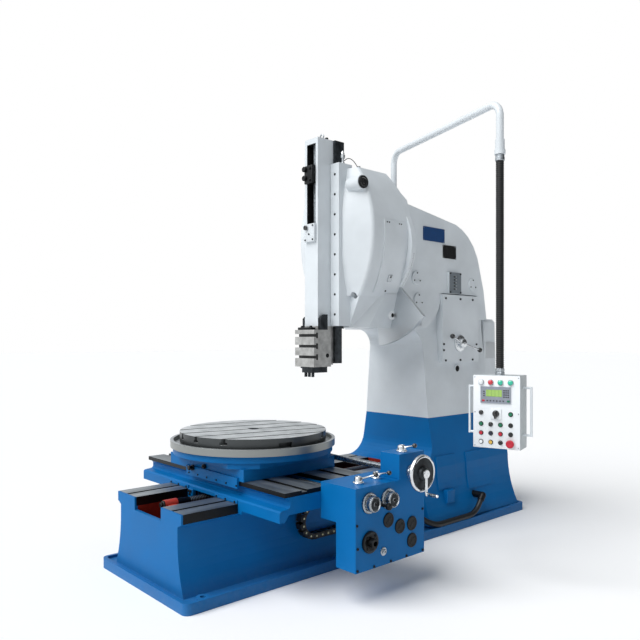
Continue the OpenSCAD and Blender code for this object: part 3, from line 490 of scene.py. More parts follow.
class Bench:
    """Shapes pieces with Blender's own tools, one at a time, as a modeller does by hand."""

    @staticmethod
    def clear() -> None:
        """Leave edit mode and select nothing, so that a tool acts on the next piece alone."""
        if bpy.context.mode != "OBJECT":
            bpy.ops.object.mode_set(mode="OBJECT")
        bpy.ops.object.select_all(action="DESELECT")

    @staticmethod
    def pick(piece: bpy.types.Object) -> None:
        """Select one piece and make it active."""
        Bench.clear()
        piece.select_set(True)
        bpy.context.view_layer.objects.active = piece

    @staticmethod
    def settle(piece: bpy.types.Object, name: str, angle: float = 32.0) -> bpy.types.Object:
        """Finish a piece: place in its mesh, outward faces, smooth shading and its name.

        Args:
            piece: the piece, in any mode.
            name: its final name.
            angle: edges sharper than this many degrees stay sharp.

        Returns:
            The piece.
        """
        Bench.pick(piece)
        bpy.ops.object.transform_apply(location=True, rotation=True, scale=True)
        bpy.ops.object.mode_set(mode="EDIT")
        bpy.ops.mesh.select_all(action="SELECT")
        bpy.ops.mesh.normals_make_consistent(inside=False)
        bpy.ops.object.mode_set(mode="OBJECT")
        bpy.ops.object.shade_smooth_by_angle(angle=math.radians(angle))
        piece.name = name
        piece.data.name = name
        return piece

    @staticmethod
    def select_edges(test: Callable[[Vector, Vector], bool]) -> None:
        """Select the edges of the mesh in edit mode whose two ends pass a test in world space."""
        piece = bpy.context.active_object
        mesh = bmesh.from_edit_mesh(piece.data)
        world = piece.matrix_world
        for face in mesh.faces:
            face.select_set(False)
        for edge in mesh.edges:
            edge.select_set(test(world @ edge.verts[0].co, world @ edge.verts[1].co))
        mesh.select_flush_mode()
        bmesh.update_edit_mesh(piece.data)

    @staticmethod
    def block(name: str, low: Place, high: Place, round_by: float, steps: int = 2, along: Optional[int] = None) -> bpy.types.Object:
        """Model a block with bevelled edges.

        Args:
            name: name of the piece.
            low: lowest corner in millimetres.
            high: highest corner in millimetres.
            round_by: bevel in millimetres.
            steps: faces across the bevel.
            along: axis whose edges alone are bevelled, before a small bevel all round, or None for all edges.

        Returns:
            The piece.
        """
        Bench.clear()
        size = [(b - a) * MM for a, b in zip(low, high)]
        middle = [(a + b) * MM / 2 for a, b in zip(low, high)]
        bpy.ops.mesh.primitive_cube_add(size=1.0, location=middle, scale=size)
        piece = bpy.context.active_object
        bpy.ops.object.transform_apply(location=True, rotation=True, scale=True)
        bpy.ops.object.mode_set(mode="EDIT")
        if along is not None:
            Bench.select_edges(lambda a, b: abs((b - a)[along]) > 0.9 * size[along])
            bpy.ops.mesh.bevel(offset=round_by * MM, segments=steps, affect="EDGES")
            bpy.ops.mesh.select_all(action="DESELECT")
            Bench.select_edges(lambda a, b: abs((b - a)[along]) < 1e-6)
            bpy.ops.mesh.bevel(offset=min(1.0, round_by / 3) * MM, segments=1, affect="EDGES")
        else:
            bpy.ops.mesh.select_all(action="SELECT")
            bpy.ops.mesh.bevel(offset=round_by * MM, segments=steps, affect="EDGES")
        return Bench.settle(piece, name)

    @staticmethod
    def turned(name: str, start: Place, way: Way, steps: Sequence[Step], around: int = 40, angle: float = 32.0) -> bpy.types.Object:
        """Model a turned part by extruding a disc step by step along its axis.

        Args:
            name: name of the piece.
            start: centre of its first face in millimetres.
            way: direction of its axis.
            steps: distance along the axis and radius of each ring, in millimetres, the first at distance 0.
            around: sides of the disc.
            angle: edges sharper than this many degrees stay sharp.

        Returns:
            The piece.
        """
        Bench.clear()
        forward = Vector(way.value)
        centre = at(*start)
        turn = forward.to_track_quat("Z", "Y").to_euler()
        bpy.ops.mesh.primitive_circle_add(vertices=around, radius=steps[0][1] * MM, fill_type="NGON", location=centre, rotation=turn)
        piece = bpy.context.active_object
        bpy.ops.object.mode_set(mode="EDIT")
        bpy.ops.mesh.select_all(action="SELECT")
        for (before, old), (along, radius) in zip(steps, steps[1:]):
            bpy.ops.mesh.extrude_region_move(TRANSFORM_OT_translate={"value": forward * ((along - before) * MM)})
            if radius != old:
                bpy.ops.transform.resize(value=(radius / old,) * 3, center_override=centre + forward * (along * MM))
        return Bench.settle(piece, name, angle)

    @staticmethod
    def pipe(name: str, points: Sequence[Vector], thick: float, smooth: bool = True, sides: int = 6) -> bpy.types.Object:
        """Sweep a round bar along points and close its ends.

        Args:
            name: name of the piece.
            points: places in metres.
            thick: diameter in millimetres.
            smooth: whether the bar bends smoothly through the points, or has corners.
            sides: resolution of the round section.

        Returns:
            The piece, as a mesh.
        """
        Bench.clear()
        data = bpy.data.curves.new(name, "CURVE")
        data.dimensions = "3D"
        data.bevel_depth = thick * MM / 2
        data.bevel_resolution = sides
        data.use_fill_caps = True
        line = data.splines.new("BEZIER" if smooth else "POLY")
        spots = line.bezier_points if smooth else line.points
        spots.add(len(points) - 1)
        for spot, point in zip(spots, points):
            spot.co = point if smooth else (*point, 1.0)
            if smooth:
                spot.handle_left_type = spot.handle_right_type = "AUTO"
        data.resolution_u = 6
        piece = bpy.data.objects.new(name, data)
        bpy.context.scene.collection.objects.link(piece)
        Bench.pick(piece)
        bpy.ops.object.convert(target="MESH")
        piece = bpy.context.active_object
        bpy.ops.object.mode_set(mode="EDIT")
        bpy.ops.mesh.select_all(action="SELECT")
        bpy.ops.mesh.remove_doubles(threshold=1e-5)
        return Bench.settle(piece, name, 50.0)

    @staticmethod
    def join(name: str, pieces: Sequence[bpy.types.Object]) -> bpy.types.Object:
        """Join pieces of one finish into one object and return it."""
        Bench.clear()
        for piece in pieces:
            piece.select_set(True)
        bpy.context.view_layer.objects.active = pieces[0]
        if len(pieces) > 1:
            bpy.ops.object.join()
        pieces[0].name = name
        pieces[0].data.name = name
        return pieces[0]

    @staticmethod
    def placed(piece: bpy.types.Object, move: Matrix) -> bpy.types.Object:
        """Move a piece by its mesh, so that its object stays at the origin, and return it."""
        piece.data.transform(move)
        piece.data.update()
        return piece

    @staticmethod
    def copies(name: str, master: bpy.types.Object, places: Sequence[Tuple[Vector, Vector]]) -> bpy.types.Object:
        """Set copies of a part that points up at the origin, and join them.

        Args:
            name: name of the joined piece.
            master: the part, which is removed afterwards.
            places: position in metres and direction of each copy.

        Returns:
            One object with all the copies.
        """
        made: List[bpy.types.Object] = []
        for spot, forward in places:
            copy = master.copy()
            copy.data = master.data.copy()
            bpy.context.scene.collection.objects.link(copy)
            turn = forward.normalized().to_track_quat("Z", "Y").to_matrix().to_4x4()
            made.append(Bench.placed(copy, Matrix.Translation(spot) @ turn))
        bpy.data.objects.remove(master)
        return Bench.join(name, made)

    @staticmethod
    def touch(node: str, start: Place, way: Way) -> Vector:
        """Find where a line first meets a CAD node.

        Args:
            node: name of the node.
            start: start of the line in millimetres.
            way: direction of the line.

        Returns:
            The place on the node's surface in metres.
        """
        found, spot, _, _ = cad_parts[node].ray_cast(at(*start), Vector(way.value))
        if not found:
            raise ValueError(f"no surface of {node} in front of {start}")
        return spot


class Hardware:
    """Screws that are modelled once, pointing up at the origin, and copied where they stand."""

    @staticmethod
    def cap_screw(size: float) -> bpy.types.Object:
        """Model the head of a socket cap screw of this head diameter in millimetres."""
        r = size / 2
        steps = [(0, r), (0.45 * size, r), (0.52 * size, 0.86 * r), (0.52 * size, 0.5 * r), (0.25 * size, 0.48 * r)]
        return Bench.turned("cap_screw", (0, 0, 0), Way.UP, steps, 18)

    @staticmethod
    def hex_bolt(size: float) -> bpy.types.Object:
        """Model a hexagon head of this width over its corners in millimetres, on its washer."""
        r = size / 2
        washer = Bench.turned("washer", (0, 0, 0), Way.UP, [(0, 1.25 * r), (0.12 * size, 1.25 * r), (0.16 * size, 1.18 * r)], 20)
        head = Bench.turned("head", (0, 0, 0.14 * size), Way.UP, [(0, r), (0.34 * size, r), (0.42 * size, 0.84 * r)], 6)
        return Bench.join("hex_bolt", [washer, head])

    @staticmethod
    def button_screw(size: float) -> bpy.types.Object:
        """Model a domed screw head with a round recess, of this diameter in millimetres."""
        r = size / 2
        steps = [(0, r), (0.18 * size, 0.96 * r), (0.34 * size, 0.7 * r), (0.4 * size, 0.34 * r), (0.22 * size, 0.3 * r)]
        return Bench.turned("button_screw", (0, 0, 0), Way.UP, steps, 16, 50.0)


@dataclass
class SubAssembly:
    """A group of pieces that ride on one CAD body."""

    body: str

    def wear(self, node: str, finish: Finish) -> None:
        """Give a CAD node its finish."""
        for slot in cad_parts[node].material_slots:
            slot.material = finish.make()
        LOG.info("%s wears %s", node, finish.name)

    def keep(self, piece: bpy.types.Object, slot: Slot, finish: Finish, *nodes: str, body: Optional[str] = None) -> bpy.types.Object:
        """Finish a new piece and tie it to the frame.

        Args:
            piece: the modelled piece.
            slot: material slot of the record, not used.
            finish: its finish.
            nodes: CAD nodes that it stands for.
            body: body that it rides on, if not the sub-assembly's own.

        Returns:
            The piece.
        """
        piece.data.materials.clear()
        piece.data.materials.append(finish.make())
        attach(piece, body or self.body)
        if nodes:
            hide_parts(*nodes)
        LOG.info("%s on %s, %s", piece.name, body or self.body, finish.name)
        return piece



@dataclass
class Studio:
    """Camera, floor, one soft light and the hall."""

    eye: Place = (3906.0, -3766.0, 1600.0)
    turn: Place = (90.0, 0.0, 48.1)
    lens: float = 36.9
    shift: float = 0.03125
    background: str = "#FFFFFF"
    light_from: Place = (-0.12, -0.64, 0.76)
    bright_side: Place = (-0.5, -0.8, 0.33)

    def build(self) -> None:
        """Set the camera, the floor, the lights and the world."""
        self.set_camera()
        self.set_floor()
        self.set_sky(3.3, 55.0)
        self.set_world()

    def set_camera(self) -> None:
        """Stand the camera where the photograph was taken."""
        data = bpy.data.cameras.new("camera")
        data.lens = self.lens
        data.sensor_width = 36.0
        data.shift_y = self.shift
        data.clip_end = 200.0
        camera = bpy.data.objects.new("camera", data)
        camera.location = at(*self.eye)
        camera.rotation_euler = Euler([math.radians(a) for a in self.turn])
        bpy.context.scene.collection.objects.link(camera)
        bpy.context.scene.camera = camera
        bpy.context.scene.view_settings.view_transform = "Standard"

    def set_floor(self) -> None:
        """Lay a plain pale floor that reaches the horizon."""
        Bench.clear()
        bpy.ops.mesh.primitive_plane_add(size=160.0, location=(0.0, 0.0, -0.0005))
        floor = bpy.context.active_object
        floor.name = "studio_floor"
        floor.data.materials.append(Moulded("pale_floor", "#FFFFFF", 0.9, grain_mm=4.0, mottle=0.005).make())

    def set_sky(self, power: float, size: float) -> None:
        """Hang one wide soft light, as from a bright hall roof in front of the machine.

        Args:
            power: its strength in watts per square metre.
            size: the angle that it fills in degrees.
        """
        data = bpy.data.lights.new("hall_light", "SUN")
        data.energy = power
        data.angle = math.radians(size)
        lamp = bpy.data.objects.new("hall_light", data)
        lamp.rotation_euler = (-Vector(self.light_from)).to_track_quat("-Z", "Y").to_euler()
        bpy.context.scene.collection.objects.link(lamp)

    def set_world(self) -> None:
        """Fill the shadows a little, show a nearly white wall, and let gloss find a hall brighter in front."""
        world = bpy.data.worlds.new("studio")
        world.use_nodes = True
        bpy.context.scene.world = world
        tree = world.node_tree
        tree.nodes.clear()
        path = add_node(tree, "ShaderNodeLightPath")
        way = add_node(tree, "ShaderNodeTexCoord").outputs["Generated"]
        facing = add_node(tree, "ShaderNodeVectorMath", {"operation": "DOT_PRODUCT"}, {0: way, 1: tuple(Vector(self.bright_side).normalized())})
        shine = add_node(tree, "ShaderNodeMapRange", None, {"Value": facing.outputs["Value"], "From Min": -0.7, "From Max": 0.5, "To Min": 0.1, "To Max": 1.1})
        fill = add_node(tree, "ShaderNodeBackground", None, {"Color": linear("#E6EEF6"), "Strength": 0.24})
        hall = add_node(tree, "ShaderNodeBackground", None, {"Color": linear("#F4F7FA"), "Strength": shine.outputs[0]})
        wall = add_node(tree, "ShaderNodeBackground", None, {"Color": linear(self.background), "Strength": 1.0})
        inner = add_node(tree, "ShaderNodeMixShader", None, {0: path.outputs["Is Glossy Ray"], 1: fill.outputs[0], 2: hall.outputs[0]})
        mix = add_node(tree, "ShaderNodeMixShader", None, {0: path.outputs["Is Camera Ray"], 1: inner.outputs[0], 2: wall.outputs[0]})
        add_node(tree, "ShaderNodeOutputWorld", None, {"Surface": mix.outputs[0]})


@dataclass
class FeedHose(SubAssembly):
    """Rubber hose that carries the cables of the table drive from the column's foot into the bed."""

    thick: float = 46.0
    length: float = 1.016
    route: Sequence[Place] = (
        (566, 1122.2, 198), (566, 1101, 169.6), (566, 1077.3, 143.5), (566, 1049.3, 122.3), (566, 1017.8, 106.5),
        (566, 984, 96.9), (566, 949, 93.6), (566, 853.2, 93.6), (566, 757.5, 93.6), (566, 661.7, 93.6),
        (566, 566, 93.6), (563.3, 524.3, 96.5), (555.1, 484, 105), (542, 446.8, 118.8), (524.1, 413.7, 137.5),
        (502.4, 386.2, 160.3), (480.6, 358.6, 183.1), (462.7, 325.5, 201.8), (449.6, 288.3, 215.6), (438.7, 248, 227),
        (438.7, 206.3, 227),
    )

    def build(self) -> None:
        data = bpy.data.curves.new("feed_hose", "CURVE")
        data.dimensions = "3D"
        data.bevel_depth = self.thick * MM / 2
        data.bevel_resolution = 6
        data.resolution_u = 5
        line = data.splines.new("BEZIER")
        line.bezier_points.add(len(self.route) - 1)
        for spot, place in zip(line.bezier_points, self.route):
            spot.co = at(*place)
            spot.handle_left_type = spot.handle_right_type = "AUTO"
        hose = bpy.data.objects.new("feed_hose", data)
        bpy.context.scene.collection.objects.link(hose)
        self.keep(hose, Slot.RUBBER, Palette.RUBBER, "hose")
        self.wear("hose_gland", Palette.BLACKED)


@dataclass
class Bed(SubAssembly):
    """Foot, bed, ways and the long feed screw in the trough."""

    coupling_y: float = -1644.0
    screw_z: float = 514.0

    def build(self) -> None:
        """Finish the castings and add the screw's bearing ring, its coupling sleeve and a box on the column's foot."""
        self.wear("base", Palette.BED)
        self.wear("bed_ways", Palette.BED_WAY)
        self.wear("feed_screw", Palette.FEED_SCREW)
        self.wear("screw_coupling", Palette.RED)
        ring = Bench.turned("screw_bearing_ring", (0, self.coupling_y + 1, self.screw_z), Way.FRONT, [(0, 27), (10, 27), (14, 23), (14, 17), (26, 17), (28, 14), (28, 8), (20, 7)], 32)
        self.keep(ring, Slot.BLACK, Palette.BLACKED)
        nut = Bench.turned("screw_coupling_sleeve", (0, self.coupling_y + 91, self.screw_z), Way.BACK, [(0, 27), (46, 27), (50, 25), (96, 25), (98, 23)], 32)
        self.keep(nut, Slot.BLACK, Palette.BLACKED)
        x = Bench.touch("base", (900, 787, 272), Way.LEFT).x / MM
        box = Bench.block("junction_box", (x - 30, 735, 216), (x + 36, 840, 328), 5, 3)
        self.keep(box, Slot.BLUE, Palette.BLUE)


@dataclass
class CableChain(SubAssembly):
    """Nylon cable chain beside the bed, link by link."""

    left: float = 407.7
    wide: float = 62.0
    thick: float = 44.0
    low: float = 205.0
    radius: float = 110.0
    turn_y: float = -723.0
    lower_end: float = 180.0
    upper_end: float = -430.0
    pitch: float = 54.0

    def link(self) -> bpy.types.Object:
        """Model one link at the origin, its length along X and its width along Y: two plates under two bars."""
        half = self.pitch / 2
        parts = []
        for side in (-1, 1):
            a = side * self.wide / 2
            b = side * (self.wide / 2 - 7)
            parts.append(Bench.block("plate", (-half + 1, min(a, b), -self.thick / 2 + 1), (half - 1, max(a, b), self.thick / 2 - 1), 4, 2))
        for side in (-1, 1):
            a = side * (self.thick / 2 - 1)
            b = side * (self.thick / 2 - 6)
            parts.append(Bench.block("bar", (-half + 7, -self.wide / 2 + 5, min(a, b)), (half - 7, self.wide / 2 - 5, max(a, b)), 1.5, 1))
        return Bench.join("chain_link", parts)

    def run(self) -> List[Tuple[Vector, float]]:
        """Walk along the chain and return the place of each link and its turn about X."""
        mid_low = self.low + self.thick / 2
        centre = mid_low + self.radius
        x = self.left + self.wide / 2
        flat = self.lower_end - self.turn_y
        bend = math.pi * self.radius
        total = flat + bend + self.upper_end - self.turn_y
        links = []
        for i in range(int(total / self.pitch)):
            s = (i + 0.5) * self.pitch
            if s < flat:
                links.append((at(x, self.lower_end - s, mid_low), math.pi))
            elif s < flat + bend:
                a = (s - flat) / self.radius
                links.append((at(x, self.turn_y - self.radius * math.sin(a), centre - self.radius * math.cos(a)), math.pi - a))
            else:
                links.append((at(x, self.turn_y + s - flat - bend, centre + self.radius), 0.0))
        return links

    def build(self) -> None:
        """Set the links along the run with a pin in each, and the bracket at its lower end."""
        master = self.link()
        pin = Bench.turned("pin", (0, 0, 0), Way.UP, [(0, 7), (2.5, 7), (4, 5)], 12)
        links, pins = [], []
        for spot, turn in self.run():
            copy = master.copy()
            copy.data = master.data.copy()
            bpy.context.scene.collection.objects.link(copy)
            links.append(Bench.placed(copy, Matrix.Translation(spot) @ Matrix.Rotation(turn, 4, "X") @ Matrix.Rotation(math.pi / 2, 4, "Z")))
            pins.append((spot + at(self.wide / 2 - 1.5, 0, 0), Vector(Way.RIGHT.value)))
        bpy.data.objects.remove(master)
        self.keep(Bench.join("chain_links", links), Slot.PLASTIC, Palette.BLACK, "cable_chain")
        self.keep(Bench.copies("chain_pins", pin, pins), Slot.PLASTIC, Palette.IVORY)
        foot = Bench.block("chain_bracket", (self.left + 4, self.lower_end - 60, self.low - 5), (self.left + self.wide - 4, self.lower_end + 4, self.low + 1), 1.5, 1)
        self.keep(foot, Slot.PLATED, Palette.ZINC)


@dataclass
class Column(SubAssembly):
    """White column with its bolted covers, plates and gear lever."""

    gear_face: float = 366.3
    housing_face: float = 340.3
    vent_face: float = 365.3

    def build(self) -> None:
        """Finish the castings and fit the covers, bare plates, bolts and lever."""
        for node in ("column", "rear_housing", "side_covers", "pendant_boss"):
            self.wear(node, Palette.WHITE)
        right = Vector(Way.RIGHT.value)
        x = self.gear_face
        spots = [(y, z) for y in (887, 1100, 1285) for z in (1421, 1966)] + [(860, 1564), (860, 1511), (1345, 1560)]
        self.keep(Bench.copies("gear_cover_bolts", Hardware.cap_screw(18), [(at(x - 0.5, y, z), right) for y, z in spots]), Slot.BLACK, Palette.BLACKED)
        self.fit_vent_front()
        vents = [(y, z) for y in (954, 1102) for z in (2023, 2189)]
        self.keep(Bench.copies("vent_bolts", Hardware.cap_screw(14), [(at(self.vent_face + 1.8, y, z), right) for y, z in vents]), Slot.BLACK, Palette.BLACKED)
        self.fit_round_covers()
        self.fit_plates()
        self.fit_lever()
        self.fit_rear()

    def fit_vent_front(self) -> None:
        """Lay a grey louvred sheet on the vent box, its five openings over the box's own, with a black sheet behind
        them as painted shade in the box.
        """
        x = self.vent_face
        bars = [Bench.block("edge", (x - 0.3, a, 2012), (x + 2.2, b, 2200), 0.8, 1) for a, b in ((943, 1004), (1050, 1113))]
        levels = [2012.0] + [2156.0 - 27.2 * k for k in range(4, -1, -1)] + [2200.0]
        for k, (low, high) in enumerate(zip(levels, levels[1:])):
            bars.append(Bench.block("bar", (x - 0.3, 1003, low + (14 if k else 0)), (x + 2.2, 1051, high), 0.6, 1))
        self.keep(Bench.join("vent_front", bars), Slot.BLACK, Palette.VENT)
        # black sheet inside the box behind the openings: painted shade
        back = Bench.block("vent_painted_shade", (x - 15.2, 1004.5, 2040), (x - 13, 1049.5, 2172), 0.5, 1)
        self.keep(back, Slot.PLASTIC, Palette.BLACK)

    def fit_round_covers(self) -> None:
        """Fit three round bearing covers on the gear housing, each with three screws."""
        cover = Bench.turned("round_cover", (0, 0, 0), Way.UP, [(0, 60), (9, 60), (13, 56), (13, 24), (11, 22)], 48)
        spots = [(519, 2121), (545, 1937), (1317, 2107)]
        x = self.housing_face
        right = Vector(Way.RIGHT.value)
        self.keep(Bench.copies("bearing_covers", cover, [(at(x - 0.6, y, z), right) for y, z in spots]), Slot.WHITE, Palette.WHITE)
        screws = []
        for y, z in spots:
            for k in range(3):
                a = math.radians(90 + 120 * k)
                screws.append((at(x + 12, y + 42 * math.cos(a), z + 42 * math.sin(a)), right))
        self.keep(Bench.copies("bearing_cover_screws", Hardware.cap_screw(11), screws), Slot.BLACK, Palette.BLACKED)

    def fit_plates(self) -> None:
        """Fit the bare plates where the machine has its signs, and the plug of the gear cover with its ring."""
        x = self.housing_face - 0.4
        plates = [
            ("upper_plate", (610, 2450), (900, 2570), Palette.PLATE_BLUE, Slot.PLASTIC),
            ("housing_plate", (880, 2320), (1067, 2437), Palette.GLASS, Slot.PLASTIC),
            ("lower_plate", (372, 1722), (584, 1838), Palette.PLATE_STEEL, Slot.PLATED),
        ]
        for name, low, high, finish, slot in plates:
            piece = Bench.block(name, (x, low[0], low[1]), (x + 3, high[0], high[1]), 6, 3, along=0)
            self.keep(piece, slot, finish)
        band = Bench.block("lower_plate_band", (x + 2.6, 382, 1784), (x + 3.8, 574, 1828), 3, 2, along=0)
        self.keep(band, Slot.RED, Palette.PLATE_RED)
        rivets = [(at(x + 2.6, y, z), Vector(Way.RIGHT.value)) for _, a, b, _, _ in plates for y in (a[0] + 9, b[0] - 9) for z in (a[1] + 9, b[1] - 9)]
        self.keep(Bench.copies("plate_rivets", Hardware.button_screw(7), rivets), Slot.PLATED, Palette.ZINC)
        pale = Bench.block("rear_plate", (300, 1577, 1425), (309.5, 1732, 1580), 6, 3, along=0)
        self.keep(pale, Slot.PLATED, Palette.PLATE_STEEL)
        x, y, z = 328.7, 1100.0, 1343.0
        ring = Bench.turned("shaft_plug_ring", (x - 4, y, z), Way.RIGHT, [(0, 40), (8, 40), (11, 37), (11, 28), (8, 27)], 40)
        self.keep(ring, Slot.WHITE, Palette.WHITE)
        plug = Bench.turned("shaft_plug", (x, y, z), Way.RIGHT, [(0, 27), (6, 27), (9, 25), (9, 14), (15, 13), (16, 11)], 32)
        self.keep(plug, Slot.BLACK, Palette.BLACKED)

    def fit_lever(self) -> None:
        """Model the gear change lever: stepped chrome hub, two arms and two black balls."""
        x, y, z = self.gear_face, 1085.0, 1571.0
        hub = Bench.turned("gear_lever_hub", (x, y, z), Way.RIGHT, [(0, 75), (14, 75), (18, 71), (20, 44), (50, 42), (57, 36), (60, 24), (60, 8), (57, 7)], 56)
        arms, balls = [hub], []
        for side in (-17.0, 163.0):
            turn = math.radians(side)
            out = Vector((0.0, math.cos(turn), math.sin(turn)))
            start = at(x + 38, y, z) + out * 0.020
            way = (out + Vector((0.21, 0, 0))).normalized()
            arm = Bench.turned("arm", (0, 0, 0), Way.UP, [(0, 9), (20, 9), (24, 7.5), (172, 6.2), (176, 9), (182, 9)], 20)
            arms.append(Bench.copies("gear_lever_arm", arm, [(start, way)]))
            ball = Bench.turned("ball", (0, 0, 0), Way.UP, [(0, 10), (4, 15.4), (11, 20.2), (20.5, 22), (30, 20.2), (37, 15.4), (41, 8.7), (42.5, 2)], 28, 60.0)
            balls.append(Bench.copies("gear_lever_ball", ball, [(start + way * 0.175, way)]))
        self.keep(Bench.join("gear_lever_steel", arms), Slot.CHROME, Palette.CHROME, "gear_lever", body="gear_lever")
        self.keep(Bench.join("gear_lever_balls", balls), Slot.PLASTIC, Palette.KNOB, "gear_lever", body="gear_lever")

    def fit_rear(self) -> None:
        """Close the back of the rear housing with a bolted door."""
        low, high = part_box("rear_housing")
        y = high.y / MM
        z0, z1 = low.z / MM, high.z / MM
        door = Bench.block("rear_door", (-230, y - 1, z0 + 260), (230, y + 6, z1 - 140), 14, 4, along=1)
        self.keep(door, Slot.WHITE, Palette.WHITE)
        screws = [(at(a, y + 5.5, b), Vector(Way.BACK.value)) for a in (-212, 212) for b in (z0 + 280, (z0 + z1) / 2 + 60, z1 - 160)]
        self.keep(Bench.copies("rear_door_screws", Hardware.cap_screw(14), screws), Slot.BLACK, Palette.BLACKED)


@dataclass
class Head(SubAssembly):
    """Barrel shaped head with the ram's keepers, hatch, oil gauge and lubrication fittings."""

    gauge: Place = (358.2, -140.0, 2820.0)
    flange: Place = (0.0, 325.0, 2375.0)
    flange_r: float = 480.0
    guide_top: float = 2995.0
    keeper_face: float = -223.0

    def build(self) -> None:
        """Finish the head's castings and fit its small parts."""
        for node in ("head", "head_cover", "keepers"):
            self.wear(node, Palette.WHITE)
        self.fit_keeper_screws()
        self.fit_gauge()
        self.fit_hatch()
        self.fit_tilt_scale()
        self.fit_oil_fittings()

    def fit_keeper_screws(self) -> None:
        """Sink a black cap screw in each recess of the keepers."""
        front = Vector(Way.FRONT.value)
        places = [(at(s * 131, self.keeper_face + 9.5, 1802 + 158 * i), front) for s in (-1, 1) for i in range(8)]
        self.keep(Bench.copies("keeper_screws", Hardware.cap_screw(19), places), Slot.BLACK, Palette.BLACKED)

    def fit_gauge(self) -> None:
        """Model the oil gauge: black bezel, and a dark glass with its centre boss."""
        bezel = Bench.turned("gauge_bezel", self.gauge, Way.RIGHT, [(0, 49), (13, 49), (17, 46), (17, 40), (10, 38)], 48)
        self.keep(bezel, Slot.BLACK, Palette.BLACKED, "oil_gauge")
        ring = Bench.turned("gauge_glass", (self.gauge[0] + 5, self.gauge[1], self.gauge[2]), Way.RIGHT, [(0, 38), (9, 38), (11, 35), (9, 30), (8, 16), (11, 15), (12, 11)], 40)
        self.keep(ring, Slot.PLASTIC, Palette.GLASS, "oil_gauge")

    def fit_hatch(self) -> None:
        """Fit the hatch with its hinge pins and paddle latch, the round cap below it and a dark plug in the front hole."""
        right = Vector(Way.RIGHT.value)
        pins = [(Bench.touch("head_cover", (900, y, 2524), Way.LEFT) - at(2, 0, 0), right) for y in (50, 74, 193, 217)]
        self.keep(Bench.copies("hatch_hinge_pins", Hardware.cap_screw(11), pins), Slot.BLACK, Palette.BLACKED)
        spot = Bench.touch("head_cover", (900, 150, 2092), Way.LEFT)
        lean = Matrix.Translation(spot) @ Matrix.Rotation(math.radians(22.5), 4, "Y")
        paddle = Bench.placed(Bench.block("hatch_latch", (-4, -22, -30), (9, 22, 30), 5, 3), lean)
        self.keep(paddle, Slot.CHROME, Palette.ZINC)
        lock = Bench.placed(Bench.turned("hatch_lock", (8, 0, 14), Way.RIGHT, [(0, 9), (2, 9), (3, 7), (3, 3)], 20), lean)
        self.keep(lock, Slot.BLACK, Palette.BLACKED)
        low = Bench.touch("head_cover", (900, 150, 1994), Way.LEFT)
        self.keep(Bench.copies("hatch_screw", Hardware.cap_screw(14), [(low - at(1.5, 0, 0), right)]), Slot.BLACK, Palette.BLACKED)
        base = tuple(v / MM for v in Bench.touch("head", (900, 292, 1804), Way.LEFT) - at(8, 0, 0))
        cap = Bench.turned("head_cap", base, Way.RIGHT, [(0, 39), (16, 39), (21, 34), (21, 18), (17, 17)], 40)
        self.keep(cap, Slot.WHITE, Palette.WHITE_KNOB)
        core = Bench.turned("head_cap_core", (base[0] + 12, base[1], base[2]), Way.RIGHT, [(0, 17), (8, 17), (10, 15), (10, 6)], 28)
        self.keep(core, Slot.BLACK, Palette.BLACKED)
        plug = Bench.turned("head_hole_plug", (237, -44, 1952), Way.FRONT, [(0, 24.6), (6, 24.6), (7, 20)], 32)
        self.keep(plug, Slot.PLASTIC, Palette.BLACK)

    def fit_tilt_scale(self) -> None:
        """Bend the bright scale of the head's tilt round the flange's rim, and cut its bare graduation."""
        x, y, z = self.flange
        low, high = math.radians(-45.0), math.radians(-8.0)
        Bench.clear()
        start = at(x + (self.flange_r - 0.4) * math.cos(low), y, z + (self.flange_r - 0.4) * math.sin(low))
        bpy.ops.mesh.primitive_plane_add(size=1.0, location=start, rotation=(0.0, -low, 0.0))
        bpy.ops.transform.resize(value=(1.6 * MM, 30.0 * MM, 1.0))
        strip = bpy.context.active_object
        bpy.ops.object.mode_set(mode="EDIT")
        bpy.ops.mesh.select_all(action="SELECT")
        bpy.ops.mesh.spin(steps=36, angle=low - high, center=at(x, y, z), axis=(0.0, 1.0, 0.0))
        self.keep(Bench.settle(strip, "tilt_scale"), Slot.PLATED, Palette.PLATE_STEEL)
        marks = []
        for k in range(35):
            a = low + (high - low) * (k + 1) / 36
            deep = 9.0 if k % 5 == 4 else 6.0
            line = Bench.block("mark", (-0.6, y + 14.0 - 2 * deep, self.flange_r + 0.2), (0.6, y + 14.0, self.flange_r + 0.7), 0.1, 1)
            marks.append(Bench.placed(line, Matrix.Translation(at(x, 0, z)) @ Matrix.Rotation(math.pi / 2 - a, 4, "Y")))
        self.keep(Bench.join("tilt_scale_marks", marks), Slot.BLACK, Palette.BLACKED)

